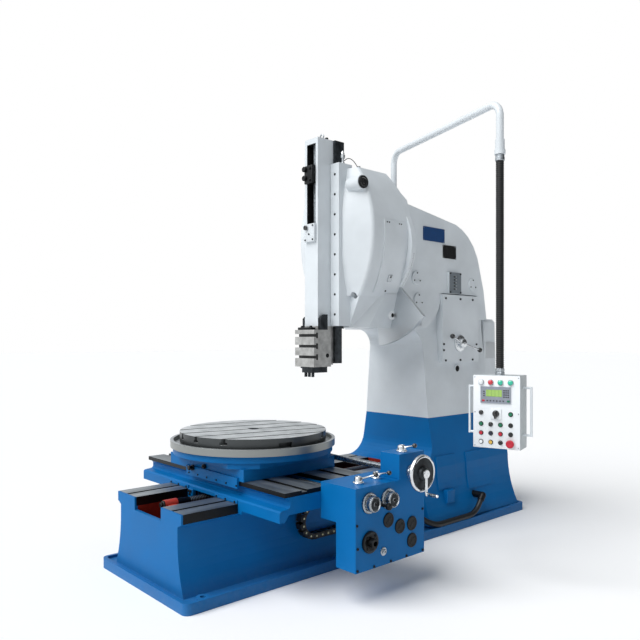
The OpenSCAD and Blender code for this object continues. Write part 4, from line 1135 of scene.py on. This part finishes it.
    def fit_oil_fittings(self) -> None:
        """Fit the chrome oiler on the guide's top, two tee fittings on the head and the bent oil pipe between."""
        top = self.guide_top
        oiler = Bench.turned("guide_oiler", (146, -150, top - 1), Way.UP, [(0, 17), (14, 17), (18, 10), (46, 10), (50, 19), (74, 19), (80, 14), (90, 14), (98, 9), (106, 9), (110, 5)], 24)
        self.keep(oiler, Slot.CHROME, Palette.CHROME)
        tees, ends = [], []
        for x, y in ((150, 30), (60, 190)):
            spot = Bench.touch("head", (x, y, 3400), Way.DOWN)
            foot = tuple(v / MM for v in spot - at(0, 0, 2))
            tees.append(Bench.turned("tee", foot, Way.UP, [(0, 13), (12, 13), (14, 8), (40, 8), (42, 12), (52, 12), (54, 6)], 20))
            tees.append(Bench.turned("tee_arm", (foot[0] - 16, foot[1], foot[2] + 32), Way.RIGHT, [(0, 6), (32, 6), (34, 4)], 16))
            ends.append(spot + at(0, 0, 30))
        self.keep(Bench.join("oil_tees", tees), Slot.PLATED, Palette.ZINC)
        start = at(146, -136, top + 30)
        path = [start, start + at(4, 40, 26), (start + ends[0]) / 2 + at(2, 8, 40), ends[0] + at(0, -20, 16), ends[0]]
        pipe = Bench.pipe("oil_pipe", path, 6, True, 4)
        self.keep(pipe, Slot.BLACK, Palette.BLACKED)


@dataclass
class Ram(SubAssembly):
    """Ram with its slide, stroke screw, clamp and slotted tool head."""

    front: float = -353.7
    slot_low: float = 2520.0
    slot_high: float = 3148.0
    clamp_low: float = 2832.0
    top: float = 3190.0

    def build(self) -> None:
        """Finish the ram's castings and model its clamp, plate and fittings."""
        self.wear("ram_slide", Palette.RAM_WAY)
        self.wear("ram_body", Palette.WHITE)
        self.wear("stroke_screw", Palette.STROKE_SCREW)
        self.wear("tool_head", Palette.TOOL_IRON)
        self.wear("tool_clamp", Palette.DARK_IRON)
        self.line_slot()
        self.fit_clamp()
        self.fit_plate()
        self.fit_top()
        self.fit_neck()

    def fit_neck(self) -> None:
        """Clamp the tool head under the ram with arched lugs and a black bridge, paint black discs on its sides where
        its holes are, and darken its slots with black sheets, both as painted shade.
        """
        lugs = [Bench.block("lug", (min(a, b), -350, 1640), (max(a, b), -281, 1801), 33, 8, along=0) for a, b in ((78.3, 112), (-78.3, -112))]
        self.keep(Bench.join("tool_head_lugs", lugs), Slot.IRON, Palette.DARK_IRON)
        # black discs on the tool head's sides stand for its holes: painted shade
        holes = [(at(side * 113.6, -285, 1478), Vector((side, 0, 0))) for side in (-1, 1)]
        hole = Bench.turned("hole", (0, 0, 0), Way.UP, [(0, 17), (1.4, 17), (1.8, 15)], 28)
        self.keep(Bench.copies("tool_head_hole_shades", hole, holes), Slot.BLACK, Palette.BLACKED)
        # black sheets at the back of the tool head's slots: painted shade
        backs = [Bench.block("slot_back", (-113.6, -385.3, 1389.7 + 78 + 84 * i - 21.4), (113.6, -383.9, 1389.7 + 78 + 84 * i + 21.4), 0.4, 1) for i in range(3)]
        self.keep(Bench.join("tool_slot_painted_shade", backs), Slot.BLACK, Palette.BLACK)
        z = 1679.7
        bridge = Bench.block("bridge", (-96, -414, z - 0.5), (60, -362, z + 20), 4, 2)
        bridge.name = "tool_head_bridge"
        self.keep(bridge, Slot.BLACK, Palette.BLACKED)
        bolts = [(at(x, -388, z + 19.5), Vector(Way.UP.value)) for x in (-70, 34)]
        self.keep(Bench.copies("tool_head_bolts", Hardware.hex_bolt(24), bolts), Slot.BLACK, Palette.BLACKED)

    def line_slot(self) -> None:
        """Line the ram's slot with a black sheet channel, open to the front, as painted shade inside the slot."""
        # black channel inside the ram's slot: painted shade
        Bench.clear()
        low = (-51.6, self.front + 2, self.slot_low + 0.4)
        high = (51.6, self.front + 95.6, self.slot_high - 0.4)
        size = [(b - a) * MM for a, b in zip(low, high)]
        bpy.ops.mesh.primitive_cube_add(size=1.0, location=[(a + b) * MM / 2 for a, b in zip(low, high)], scale=size)
        liner = bpy.context.active_object
        bpy.ops.object.transform_apply(location=True, rotation=True, scale=True)
        bpy.ops.object.mode_set(mode="EDIT")
        mesh = bmesh.from_edit_mesh(liner.data)
        for face in mesh.faces:
            face.select_set(face.normal.y < -0.9)
        bmesh.update_edit_mesh(liner.data)
        bpy.ops.mesh.delete(type="FACE")
        bpy.ops.object.mode_set(mode="OBJECT")
        wall = liner.modifiers.new("wall", "SOLIDIFY")
        wall.thickness = 3 * MM
        wall.offset = -1.0
        bpy.ops.object.modifier_apply(modifier="wall")
        self.keep(Bench.settle(liner, "ram_slot_painted_shade"), Slot.BLACK, Palette.BLACK)

    def fit_clamp(self) -> None:
        """Model the stroke clamp: a block on a back block, with two ribbed hand knobs."""
        body = Bench.block("clamp_block", (-48, self.front - 34, self.clamp_low), (48, self.front + 20, self.clamp_low + 142), 5, 3)
        back = Bench.block("clamp_back", (-46, self.front + 18, self.clamp_low + 6), (46, self.front + 90, self.clamp_low + 136), 3, 2)
        knobs = []
        for z in (self.clamp_low + 46, self.clamp_low + 116):
            knobs.append(Bench.turned("knob", (-40, self.front - 33, z), Way.FRONT, [(0, 13), (3, 13), (4, 20), (6, 22), (13, 22), (16, 19), (17, 14), (15, 9)], 12, 20.0))
        self.keep(Bench.join("stroke_clamp_parts", [body, back] + knobs), Slot.BLACK, Palette.BLACKED, "stroke_clamp")
        bolts = [(at(22, self.front - 34.5, z), Vector(Way.FRONT.value)) for z in (self.clamp_low + 24, self.clamp_low + 116)]
        self.keep(Bench.copies("stroke_clamp_bolts", Hardware.hex_bolt(20), bolts), Slot.BLACK, Palette.BLACKED)

    def fit_plate(self) -> None:
        """Model the plate under the slot, with its knob and four screws."""
        low, high = self.slot_low - 146, self.slot_low - 4
        plate = Bench.block("ram_plate_body", (-60, self.front - 24, low), (60, self.front - 0.3, high), 5, 3)
        self.keep(plate, Slot.WHITE, Palette.WHITE, "ram_plate")
        knob = Bench.turned("ram_plate_knob", (-30, self.front - 23.5, high - 30), Way.FRONT, [(0, 9), (8, 9), (9, 19), (13, 20), (18, 20), (20.5, 17), (20.5, 8), (18, 7)], 12, 20.0)
        self.keep(knob, Slot.PLASTIC, Palette.KNOB, "ram_plate")
        spots = [(-44, low + 16), (44, low + 16), (44, high - 16), (0, low + 60)]
        screws = [(at(x, self.front - 24.4, z), Vector(Way.FRONT.value)) for x, z in spots]
        self.keep(Bench.copies("ram_plate_screws", Hardware.cap_screw(13), screws), Slot.BLACK, Palette.BLACKED)

    def fit_top(self) -> None:
        """Put the lifting eye and a filler knob on the ram's top."""
        Bench.clear()
        z = self.top
        bpy.ops.mesh.primitive_torus_add(location=at(10, -250, z + 34), rotation=(math.pi / 2, 0, 0), major_radius=19 * MM, minor_radius=6 * MM, major_segments=32, minor_segments=14)
        eye = Bench.settle(bpy.context.active_object, "eye", 60.0)
        stem = Bench.turned("stem", (10, -250, z - 1), Way.UP, [(0, 17), (6, 17), (9, 10), (17, 8)], 28)
        self.keep(Bench.join("ram_lifting_eye", [eye, stem]), Slot.PLATED, Palette.ZINC)
        knob = Bench.turned("ram_filler", (44, -230, z - 1), Way.UP, [(0, 13), (5, 13), (7, 10), (12, 10), (14, 14), (22, 14), (25, 10)], 20)
        self.keep(knob, Slot.PLASTIC, Palette.KNOB)


@dataclass
class Saddle(SubAssembly):
    """Saddle on the bed, with its cross ways, screws, wipers and gib plates."""

    front: float = -1353.0
    back: float = -479.0

    def build(self) -> None:
        """Finish the saddle's castings and fit the way wipers and the saddle clamp."""
        self.wear("saddle", Palette.BLUE)
        self.wear("cross_ways", Palette.CROSS_WAY)
        self.wear("cross_screw", Palette.CROSS_SCREW)
        self.wear("spline_shaft", Palette.TURNED)
        self.fit_wipers()
        self.fit_clamps()

    def fit_wipers(self) -> None:
        """Fit the plates that wipe the bed ways, each with three screws, in front and behind."""
        plates, screws = [], []
        for face, way in ((self.front, Way.FRONT), (self.back, Way.BACK)):
            out = Vector(way.value)
            for side in (-1, 1):
                a, b = sorted((side * 172, side * 430))
                y = sorted((face, face + 8 * out.y))
                plates.append(Bench.block("wiper", (a, y[0] - 0.4, 551.5), (b, y[1] + 0.4, 573), 2, 2))
                screws += [(at(a + 23 + 106 * k, face + 8 * out.y, 562), out) for k in range(3)]
        self.keep(Bench.join("way_wipers", plates), Slot.BLUE, Palette.BLUE)
        self.keep(Bench.copies("way_wiper_screws", Hardware.cap_screw(13), screws), Slot.BLACK, Palette.BLACKED)

    def fit_clamps(self) -> None:
        """Hang the small saddle clamp between the bed ways, with its bolts."""
        body = Bench.block("clamp", (-168, self.front - 14, 506), (-104, self.front + 18, 556), 6, 3)
        foot = Bench.block("clamp_foot", (-174, self.front - 10, 490), (-128, self.front + 12, 510), 4, 2)
        self.keep(Bench.join("saddle_clamp", [body, foot]), Slot.BLUE, Palette.BLUE)
        bolts = [(at(x, self.front - 14.5, z), Vector(Way.FRONT.value)) for x, z in ((-150, 540), (-122, 540), (-136, 520))]
        self.keep(Bench.copies("saddle_clamp_bolts", Hardware.hex_bolt(17), bolts), Slot.BLACK, Palette.BLACKED)


@dataclass
class FeedBox(SubAssembly):
    """Feed box at the saddle's end, with its dials, handwheel, caps and levers."""

    face: float = 1167.3
    top: float = 718.0
    turret_top: float = 878.0

    def build(self) -> None:
        """Finish the box and model everything that stands on it."""
        self.wear("feed_box", Palette.BLUE)
        self.fit_caps()
        self.fit_bolts()
        self.fit_dial("dial_front", -913.0)
        self.fit_dial("dial_back", -745.0)
        self.fit_handwheel()
        for node, spot, turn, reach in (
            ("lever_front", (1070, -905, self.top), 54, 108), ("lever_middle", (1040, -711, self.top), -5, 118),
            ("lever_top", (1110, -550, self.turret_top), 10, 96),
        ):
            self.fit_lever(node, spot, turn, reach)

    def fit_caps(self) -> None:
        """Model the four dark shaft caps, the drive socket on its flange and the clutch knob."""
        x = self.face - 0.3
        right = Vector(Way.RIGHT.value)
        cap = Bench.turned("cap", (0, 0, 0), Way.UP, [(0, 46), (5, 46), (8, 43), (8, 34), (6, 33), (6, 10), (8, 9)], 44)
        spots = [(-741, 486), (-634, 428), (-519, 426), (-519, 318)]
        self.keep(Bench.copies("shaft_caps", cap, [(at(x, y, z), right) for y, z in spots]), Slot.BLACK, Palette.BLACKED, "box_fittings")
        pins = [(at(x + 5.5, y + 21 * math.cos(a), z + 21 * math.sin(a)), right) for y, z in spots for a in (0.6, 0.6 + math.pi)]
        self.keep(Bench.copies("shaft_cap_screws", Hardware.cap_screw(8), pins), Slot.BLACK, Palette.DARK_IRON)
        flange = Bench.turned("flange", (x, -908, 384), Way.RIGHT, [(0, 66), (13, 66), (16, 63), (16, 34), (14, 30), (46, 28), (50, 25), (50, 16), (20, 15)], 48)
        stem = Bench.turned("stem", (x, -829, 600), Way.RIGHT, [(0, 15), (8, 15), (12, 11), (70, 11), (72, 19), (78, 22), (92, 22), (98, 18), (100, 12)], 32)
        self.keep(Bench.join("box_socket_and_knob", [flange, stem]), Slot.BLACK, Palette.BLACKED, "box_fittings")
        rim = Bench.turned("socket_ring", (x + 13, -908, 384), Way.RIGHT, [(0, 62), (3.4, 62), (4, 60), (4, 50), (2, 49)], 48)
        self.keep(rim, Slot.PLATED, Palette.DARK_IRON)
        bolts = [(at(x + 15.5, -908 + 49 * math.cos(a), 384 + 49 * math.sin(a)), right) for a in [math.pi / 4 + math.pi / 2 * k for k in range(4)]]
        self.keep(Bench.copies("socket_bolts", Hardware.hex_bolt(16), bolts), Slot.BLACK, Palette.BLACKED)
        plug = Bench.turned("oil_plug", (x, -786, 302), Way.RIGHT, [(0, 26), (4, 26), (6, 23), (6, 16), (14, 15), (16, 12), (16, 7), (10, 6)], 28)
        self.keep(plug, Slot.PLATED, Palette.ZINC)

    def fit_bolts(self) -> None:
        """Fit the cap screws along the edge of the box's front plate."""
        spots = [(-412, 500), (-1016, 500), (-1010, 362), (-1012, 232), (-869, 228), (-719, 228), (-571, 228), (-410, 232)]
        places = [(at(self.face - 3, y, z), Vector(Way.RIGHT.value)) for y, z in spots]
        self.keep(Bench.copies("feed_box_screws", Hardware.cap_screw(17), places), Slot.BLACK, Palette.BLACKED)

    def fit_dial(self, node: str, y: float) -> None:
        """Model a feed dial: divided flange, knurled drum and a black centre.

        Args:
            node: CAD node and body of the dial.
            y: place of its axis.
        """
        x, z = self.face + 0.3, 620.0
        knurl = KnurledSteel(f"{node}_divided_steel", "#C3C8CC", 0.2, 1.0, centre=(y, z), cuts=72.0)
        rim = Bench.turned(f"{node}_flange", (x, y, z), Way.RIGHT, [(0, 64), (12, 64), (18, 58), (18, 50)], 72)
        drum = Bench.turned("drum", (x, y, z), Way.RIGHT, [(0, 47), (20, 47), (22, 49), (50, 49), (56, 45), (58, 40), (52, 37), (50, 14), (56, 12)], 72)
        self.keep(Bench.join(f"{node}_wheel", [rim, drum]), Slot.CHROME, knurl, node, body=node)
        face = Bench.turned(f"{node}_face", (x + 49.6, y, z), Way.RIGHT, [(0, 36), (2.5, 36), (3.2, 34), (2.4, 16), (4, 9), (8, 8)], 48)
        self.keep(face, Slot.PLATED, Palette.DARK_IRON, node, body=node)
        centre = Bench.turned(f"{node}_centre", (x + 50, y, z), Way.RIGHT, [(0, 9), (9.4, 9), (10, 7), (10, 4), (6, 3.6)], 24)
        self.keep(centre, Slot.BLACK, Palette.BLACKED, node, body=node)

    def fit_handwheel(self) -> None:
        """Model the handwheel: bright rim, grey web, stepped hub and the crank with its handle."""
        x, y, z = self.face + 0.3, -530.0, 760.0
        node = "handwheel"
        hub = Bench.turned("hub", (x, y, z), Way.RIGHT, [(0, 48), (14, 48), (18, 40), (60, 40), (66, 46), (80, 46)], 48)
        rim = Bench.turned("rim", (x + 80, y, z), Way.RIGHT, [(0, 104), (3, 114), (10, 118), (18, 118), (25, 114), (28, 106), (26, 100), (14, 98)], 72)
        self.keep(Bench.join("handwheel_rim", [hub, rim]), Slot.CHROME, Palette.CHROME, node, body=node)
        web = Bench.turned("handwheel_web", (x + 92, y, z), Way.RIGHT, [(0, 99), (4, 99), (6, 92), (5, 60), (8, 46), (24, 42), (30, 36), (32, 30)], 64)
        self.keep(web, Slot.IRON, Palette.DARK_IRON, node, body=node)
        cap = Bench.turned("cap", (x + 120, y, z), Way.RIGHT, [(0, 29), (12, 29), (16, 25), (16, 10), (14, 9)], 32)
        arm = Bench.block("arm", (x + 119, y - 11, z - 128), (x + 133, y + 11, z + 12), 5, 3)
        grip = Bench.turned("grip", (x + 126, y, z - 124), Way.RIGHT, [(0, 13), (8, 13), (10, 8), (14, 8), (18, 10), (48, 11), (78, 9.5), (86, 10.5), (91, 8), (92, 4)], 28)
        self.keep(Bench.join("handwheel_crank", [cap, arm, grip]), Slot.CHROME, Palette.CHROME, node, body=node)

    def fit_lever(self, node: str, spot: Place, turn: float, reach: float) -> None:
        """Model a ball lever: stepped chrome hub, tapered arm and black ball.

        Args:
            node: CAD node and body of the lever.
            spot: centre of its hub's foot.
            turn: angle of its arm about Z in degrees.
            reach: distance from the hub to the ball.
        """
        a = math.radians(turn)
        out = Vector((math.cos(a), math.sin(a), 0.0))
        hub = Bench.turned("hub", (spot[0], spot[1], spot[2] + 0.3), Way.UP, [(0, 36), (10, 36), (14, 32), (15, 26), (36, 25), (42, 22), (46, 15), (46, 7), (44, 6)], 40)
        start = at(*spot) + out * 0.016 + at(0, 0, 30)
        ball_at = at(*spot) + out * (reach * MM) + at(0, 0, 30 + (reach - 16) * 0.25)
        way = (ball_at - start).normalized()
        far = (ball_at - start).length / MM
        arm = Bench.turned("arm", (0, 0, 0), Way.UP, [(0, 8), (14, 8), (18, 6.5), (far - 18, 5), (far - 14, 7), (far - 9, 7)], 20)
        steel = Bench.join(f"{node}_steel", [hub, Bench.copies("arm", arm, [(start, way)])])
        self.keep(steel, Slot.CHROME, Palette.CHROME, node, body=node)
        ball = Bench.turned("ball", (0, 0, 0), Way.UP, [(0, 7.5), (3, 10.7), (7.5, 13.9), (14, 15), (20.6, 13.9), (25.4, 10.7), (28.2, 6), (29, 1.4)], 28, 60.0)
        self.keep(Bench.copies(f"{node}_ball", ball, [(ball_at - way * 0.0145, way)]), Slot.PLASTIC, Palette.KNOB, node, body=node)


@dataclass
class TableGroup(SubAssembly):
    """Cross slide and the round table with its gutter."""

    front: float = -1330.0

    def build(self) -> None:
        """Finish the castings and fit the slide's clamp handle and gib screws."""
        self.wear("cross_slide", Palette.BLUE)
        self.wear("table_base", Palette.BLUE)
        self.wear("gutter_ring", Palette.RING)
        self.wear("table_plate", Palette.FACED)
        self.fit_locks()

    def fit_locks(self) -> None:
        """Model the slide's clamp screw with its tommy bar, its blind plug and the gib screws."""
        body = "cross_slide"
        y, z = self.front, 698.0
        screw = Bench.turned("screw", (-155, y + 0.3, z), Way.FRONT, [(0, 20), (10, 20), (12, 13), (24, 13), (26, 17), (38, 17), (41, 13)], 28)
        bar = Bench.pipe("bar", [at(-191, y - 31, z + 12), at(-119, y - 31, z - 12)], 8, False)
        plug = Bench.turned("plug", (-20, y + 14.3, z + 26), Way.FRONT, [(0, 16), (16, 16), (18, 13), (18, 8), (25, 8), (26, 6)], 24)
        self.keep(Bench.join("slide_clamp_parts", [screw, bar, plug]), Slot.BLACK, Palette.BLACKED, "slide_locks", body=body)
        front = Vector(Way.FRONT.value)
        gib = [(at(x, y + 0.4, 655), front) for x in range(-210, 381, 118)]
        self.keep(Bench.copies("gib_screws", Hardware.cap_screw(12), gib), Slot.BLACK, Palette.BLACKED, body=body)


@dataclass
class Pendant(SubAssembly):
    """Hanging control box on its pipe arm."""

    spot: Tuple[float, float] = (1459.1, 35.9)
    top: float = 1368.0
    turn: float = 17.0
    wide: float = 310.0
    deep: float = 160.0
    columns: Sequence[float] = (-101.0, -37.0, 27.0, 93.0)
    conduit_top: float = 2790.0

    def at_box(self) -> Matrix:
        """Return the place of the box's own frame, whose front faces its -Y."""
        return Matrix.Translation(at(self.spot[0], self.spot[1], self.top)) @ Matrix.Rotation(math.radians(self.turn), 4, "Z")

    def on_box(self, piece: bpy.types.Object, slot: Slot, finish: Finish, *nodes: str) -> bpy.types.Object:
        """Move a piece that was modelled in the box's frame to the box, and finish it."""
        return self.keep(Bench.placed(piece, self.at_box()), slot, finish, *nodes)

    def build(self) -> None:
        """Finish the arm and the box, and model the conduit and the panel."""
        self.wear("pendant_arm", Palette.PIPE)
        self.wear("panel_handles", Palette.PIPE)
        self.wear("control_box", Palette.SHEET_SIDE)
        self.fit_conduit()
        self.fit_front()
        self.fit_display()
        self.fit_switches()

    def fit_conduit(self) -> None:
        """Model the ribbed conduit between its gland and the arm's end."""
        x, y = self.spot
        low, high = 1414.0, self.conduit_top
        count = int((high - low) / 14)
        pitch = (high - low) / count
        steps: List[Step] = [(0, 24)]
        for k in range(count):
            z = k * pitch
            steps += [(z + 0.2 * pitch, 24), (z + 0.35 * pitch, 27), (z + 0.75 * pitch, 27), (z + 0.9 * pitch, 24)]
        pipe = Bench.turned("pendant_conduit_pipe", (x, y, low), Way.UP, steps, 24, 40.0)
        self.keep(pipe, Slot.PLASTIC, Palette.BLACK, "pendant_conduit")
        gland = Bench.turned("pendant_gland", (x, y, self.top), Way.UP, [(0, 32), (16, 32), (19, 29), (22, 29), (24, 31.5), (40, 31.5), (44, 27), (47, 24)], 8, 20.0)
        self.keep(gland, Slot.PLATED, Palette.ZINC, "pendant_conduit")
        nut = Bench.turned("pendant_top_nut", (x, y, high - 1), Way.UP, [(0, 28), (3, 31), (24, 31), (26, 29), (40, 29), (42, 27)], 28)
        self.keep(nut, Slot.PLATED, Palette.ZINC, "pendant_conduit")

    def fit_front(self) -> None:
        """Fit the box's white front sheet with its six screws."""
        f = -self.deep / 2
        sheet = Bench.block("panel_sheet", (-self.wide / 2 + 1, f - 2.6, -477), (self.wide / 2 - 1, f + 0.4, -1), 6, 3, along=1)
        self.on_box(sheet, Slot.WHITE, Palette.SHEET, "panel_controls")
        spots = [(x, z) for x in (-143, 143) for z in (-12, -245, -465)]
        screws = Bench.copies("panel_screws", Hardware.button_screw(9), [(at(x, f - 2.4, z), Vector(Way.FRONT.value)) for x, z in spots])
        self.on_box(screws, Slot.PLATED, Palette.ZINC)

    def fit_display(self) -> None:
        """Model the display unit: grey frame, green screen and its keys."""
        f = -self.deep / 2 - 2.4
        bezel = Bench.block("display_frame", (-104, f - 7, -182), (95, f, -74), 4, 3, along=1)
        self.on_box(bezel, Slot.PLASTIC, Palette.GREY, "panel_controls")
        screen = Bench.block("display_screen", (-66, f - 8.2, -138), (38, f - 6.4, -94), 1.5, 1)
        self.on_box(screen, Slot.PLASTIC, Palette.DISPLAY, "panel_controls")
        key = Bench.block("key", (-4.5, -3.8, -1), (4.5, 3.8, 2), 1.2, 2)
        front = Vector(Way.FRONT.value)
        spots = [(at(52 + 13.5 * i, f - 6.8, -97 - 14 * j), front) for i in range(3) for j in range(4)]
        spots += [(at(-58 + 21 * i, f - 6.8, -166), front) for i in range(6)] + [(at(-80, f - 6.8, -106 - 14 * j), front) for j in range(3)]
        self.on_box(Bench.copies("display_keys", key, spots), Slot.PLASTIC, Palette.BLACK, "panel_controls")
        for name, x, finish in (("display_red_key", -84, Palette.KEY_RED), ("display_green_key", 80, Palette.KEY_GREEN)):
            cap = Bench.block(name, (x - 9, f - 9, -172), (x + 9, f - 6.4, -160), 1.5, 2)
            self.on_box(cap, Slot.PLASTIC, finish, "panel_controls")

    def lamp(self, name: str, x: float, z: float, finish: Finish) -> None:
        """Fit an indicator lamp: bright bezel and domed lens."""
        f = -self.deep / 2 - 2.4
        bezel = Bench.turned("bezel", (x, f, z), Way.FRONT, [(0, 20), (3, 20), (5, 18.5), (5, 16)], 32)
        self.on_box(bezel, Slot.CHROME, Palette.ZINC)
        bezel.name = f"{name}_bezel"
        lens = Bench.turned("lens", (x, f - 3, z), Way.FRONT, [(0, 16.5), (7, 16.5), (10, 15), (12.4, 11), (13.6, 5), (13.8, 1)], 32, 60.0)
        lens.name = f"{name}_lens"
        self.on_box(lens, Slot.PLASTIC, finish, "panel_controls")

    def button(self, name: str, x: float, z: float, finish: Finish, wide: float = 15.5, proud: float = 9.0) -> None:
        """Fit a push button: dark bezel and coloured cap.

        Args:
            name: name of the cap.
            x: place across the panel.
            z: height from the panel's top.
            finish: finish of the cap.
            wide: radius of the bezel.
            proud: how far the cap stands out.
        """
        f = -self.deep / 2 - 2.4
        bezel = Bench.turned(f"{name}_bezel", (x, f, z), Way.FRONT, [(0, wide), (3, wide), (5, wide - 1.5), (5, wide - 4)], 28)
        self.on_box(bezel, Slot.PLASTIC, Palette.BLACK, "panel_controls")
        r = wide - 4.2
        cap = Bench.turned(name, (x, f - 3, z), Way.FRONT, [(0, r), (proud - 4, r), (proud - 3, r - 1), (proud - 3.4, r - 3.5)], 28)
        self.on_box(cap, Slot.PLASTIC, finish, "panel_controls")

    def selector(self, name: str, x: float, z: float, turn: float) -> None:
        """Fit a selector switch whose handle is turned by some degrees."""
        f = -self.deep / 2 - 2.4
        ring = Bench.turned("ring", (x, f, z), Way.FRONT, [(0, 15.5), (3, 15.5), (5, 14), (7, 11)], 28)
        grip = Bench.block("grip", (-3.6, -14, 0), (3.6, 12, 12), 2, 2)
        move = Matrix.Translation(at(x, f - 5, z)) @ Matrix.Rotation(math.radians(turn), 4, "Y") @ Matrix.Rotation(math.pi / 2, 4, "X")
        self.on_box(Bench.join(name, [ring, Bench.placed(grip, move)]), Slot.PLASTIC, Palette.KNOB, "panel_controls")

    def fit_switches(self) -> None:
        """Fit the lamps, buttons, selectors, the rotary switch and the stop button."""
        c = self.columns
        for k, finish in enumerate((Palette.LENS_WHITE, Palette.LENS_RED, Palette.LENS_GREEN, Palette.LENS_GREEN)):
            self.lamp(f"lamp_{k + 1}", c[k], -46, finish)
        caps = [
            ("jog", c[3], -250, Palette.KEY_GREEN), ("start", c[0], -320, Palette.KEY_GREEN),
            ("run", c[2], -322, Palette.KEY_GREEN), ("set", c[3], -322, Palette.BLACK), ("halt", c[0], -380, Palette.KEY_RED),
            ("reset", c[1], -380, Palette.KEY_BLUE), ("off", c[2], -381, Palette.KEY_RED), ("spare", c[3], -381, Palette.BLACK),
            ("white", c[0], -438, Palette.LENS_WHITE), ("amber", c[1], -438, Palette.KEY_YELLOW),
        ]
        for name, x, z, finish in caps:
            self.button(f"button_{name}", x, z, finish)
        self.selector("selector_left", c[0], -246, 25.0)
        self.selector("selector_middle", c[1], -321, 35.0)
        self.selector("selector_low", c[2], -438, -40.0)
        self.fit_rotary()
        self.fit_stop()

    def fit_rotary(self) -> None:
        """Model the rotary switch: square plate, round base and pointed handle."""
        f = -self.deep / 2 - 2.4
        plate = Bench.block("rotary_plate", (-38, f - 6, -288), (34, f, -216), 3, 2)
        self.on_box(plate, Slot.WHITE, Palette.SHEET, "panel_controls")
        base = Bench.turned("base", (-2, f - 5, -250), Way.FRONT, [(0, 23), (8, 22), (12, 19)], 32)
        grip = Bench.block("grip", (-8, f - 32, -282), (4, f - 8, -232), 4, 3)
        self.on_box(Bench.join("rotary_switch", [base, grip]), Slot.PLASTIC, Palette.KNOB, "panel_controls")

    def fit_stop(self) -> None:
        """Model the big mushroom stop button."""
        f = -self.deep / 2 - 2.4
        x, z = self.columns[3], -440.0
        stop = Bench.turned("stop_button", (x, f, z), Way.FRONT, [(0, 17), (12, 15), (14, 24), (18, 26.5), (22, 26), (25, 22), (25.6, 14), (24.6, 12)], 36, 40.0)
        self.on_box(stop, Slot.PLASTIC, Palette.KEY_RED, "panel_controls")


def main() -> None:
    """Dress the machine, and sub-assembly by sub-assembly."""
    logging.basicConfig(level=logging.INFO, format="%(message)s")
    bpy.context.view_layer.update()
    Studio().build()
    FeedHose("frame").build()
    Bed("frame").build()
    CableChain("frame").build()
    Column("frame").build()
    Head("frame").build()
    Ram("ram").build()
    Saddle("saddle").build()
    FeedBox("saddle").build()
    TableGroup("table").build()
    Pendant("pendant").build()
    Bench.clear()


if __name__ == "__main__":
    main()
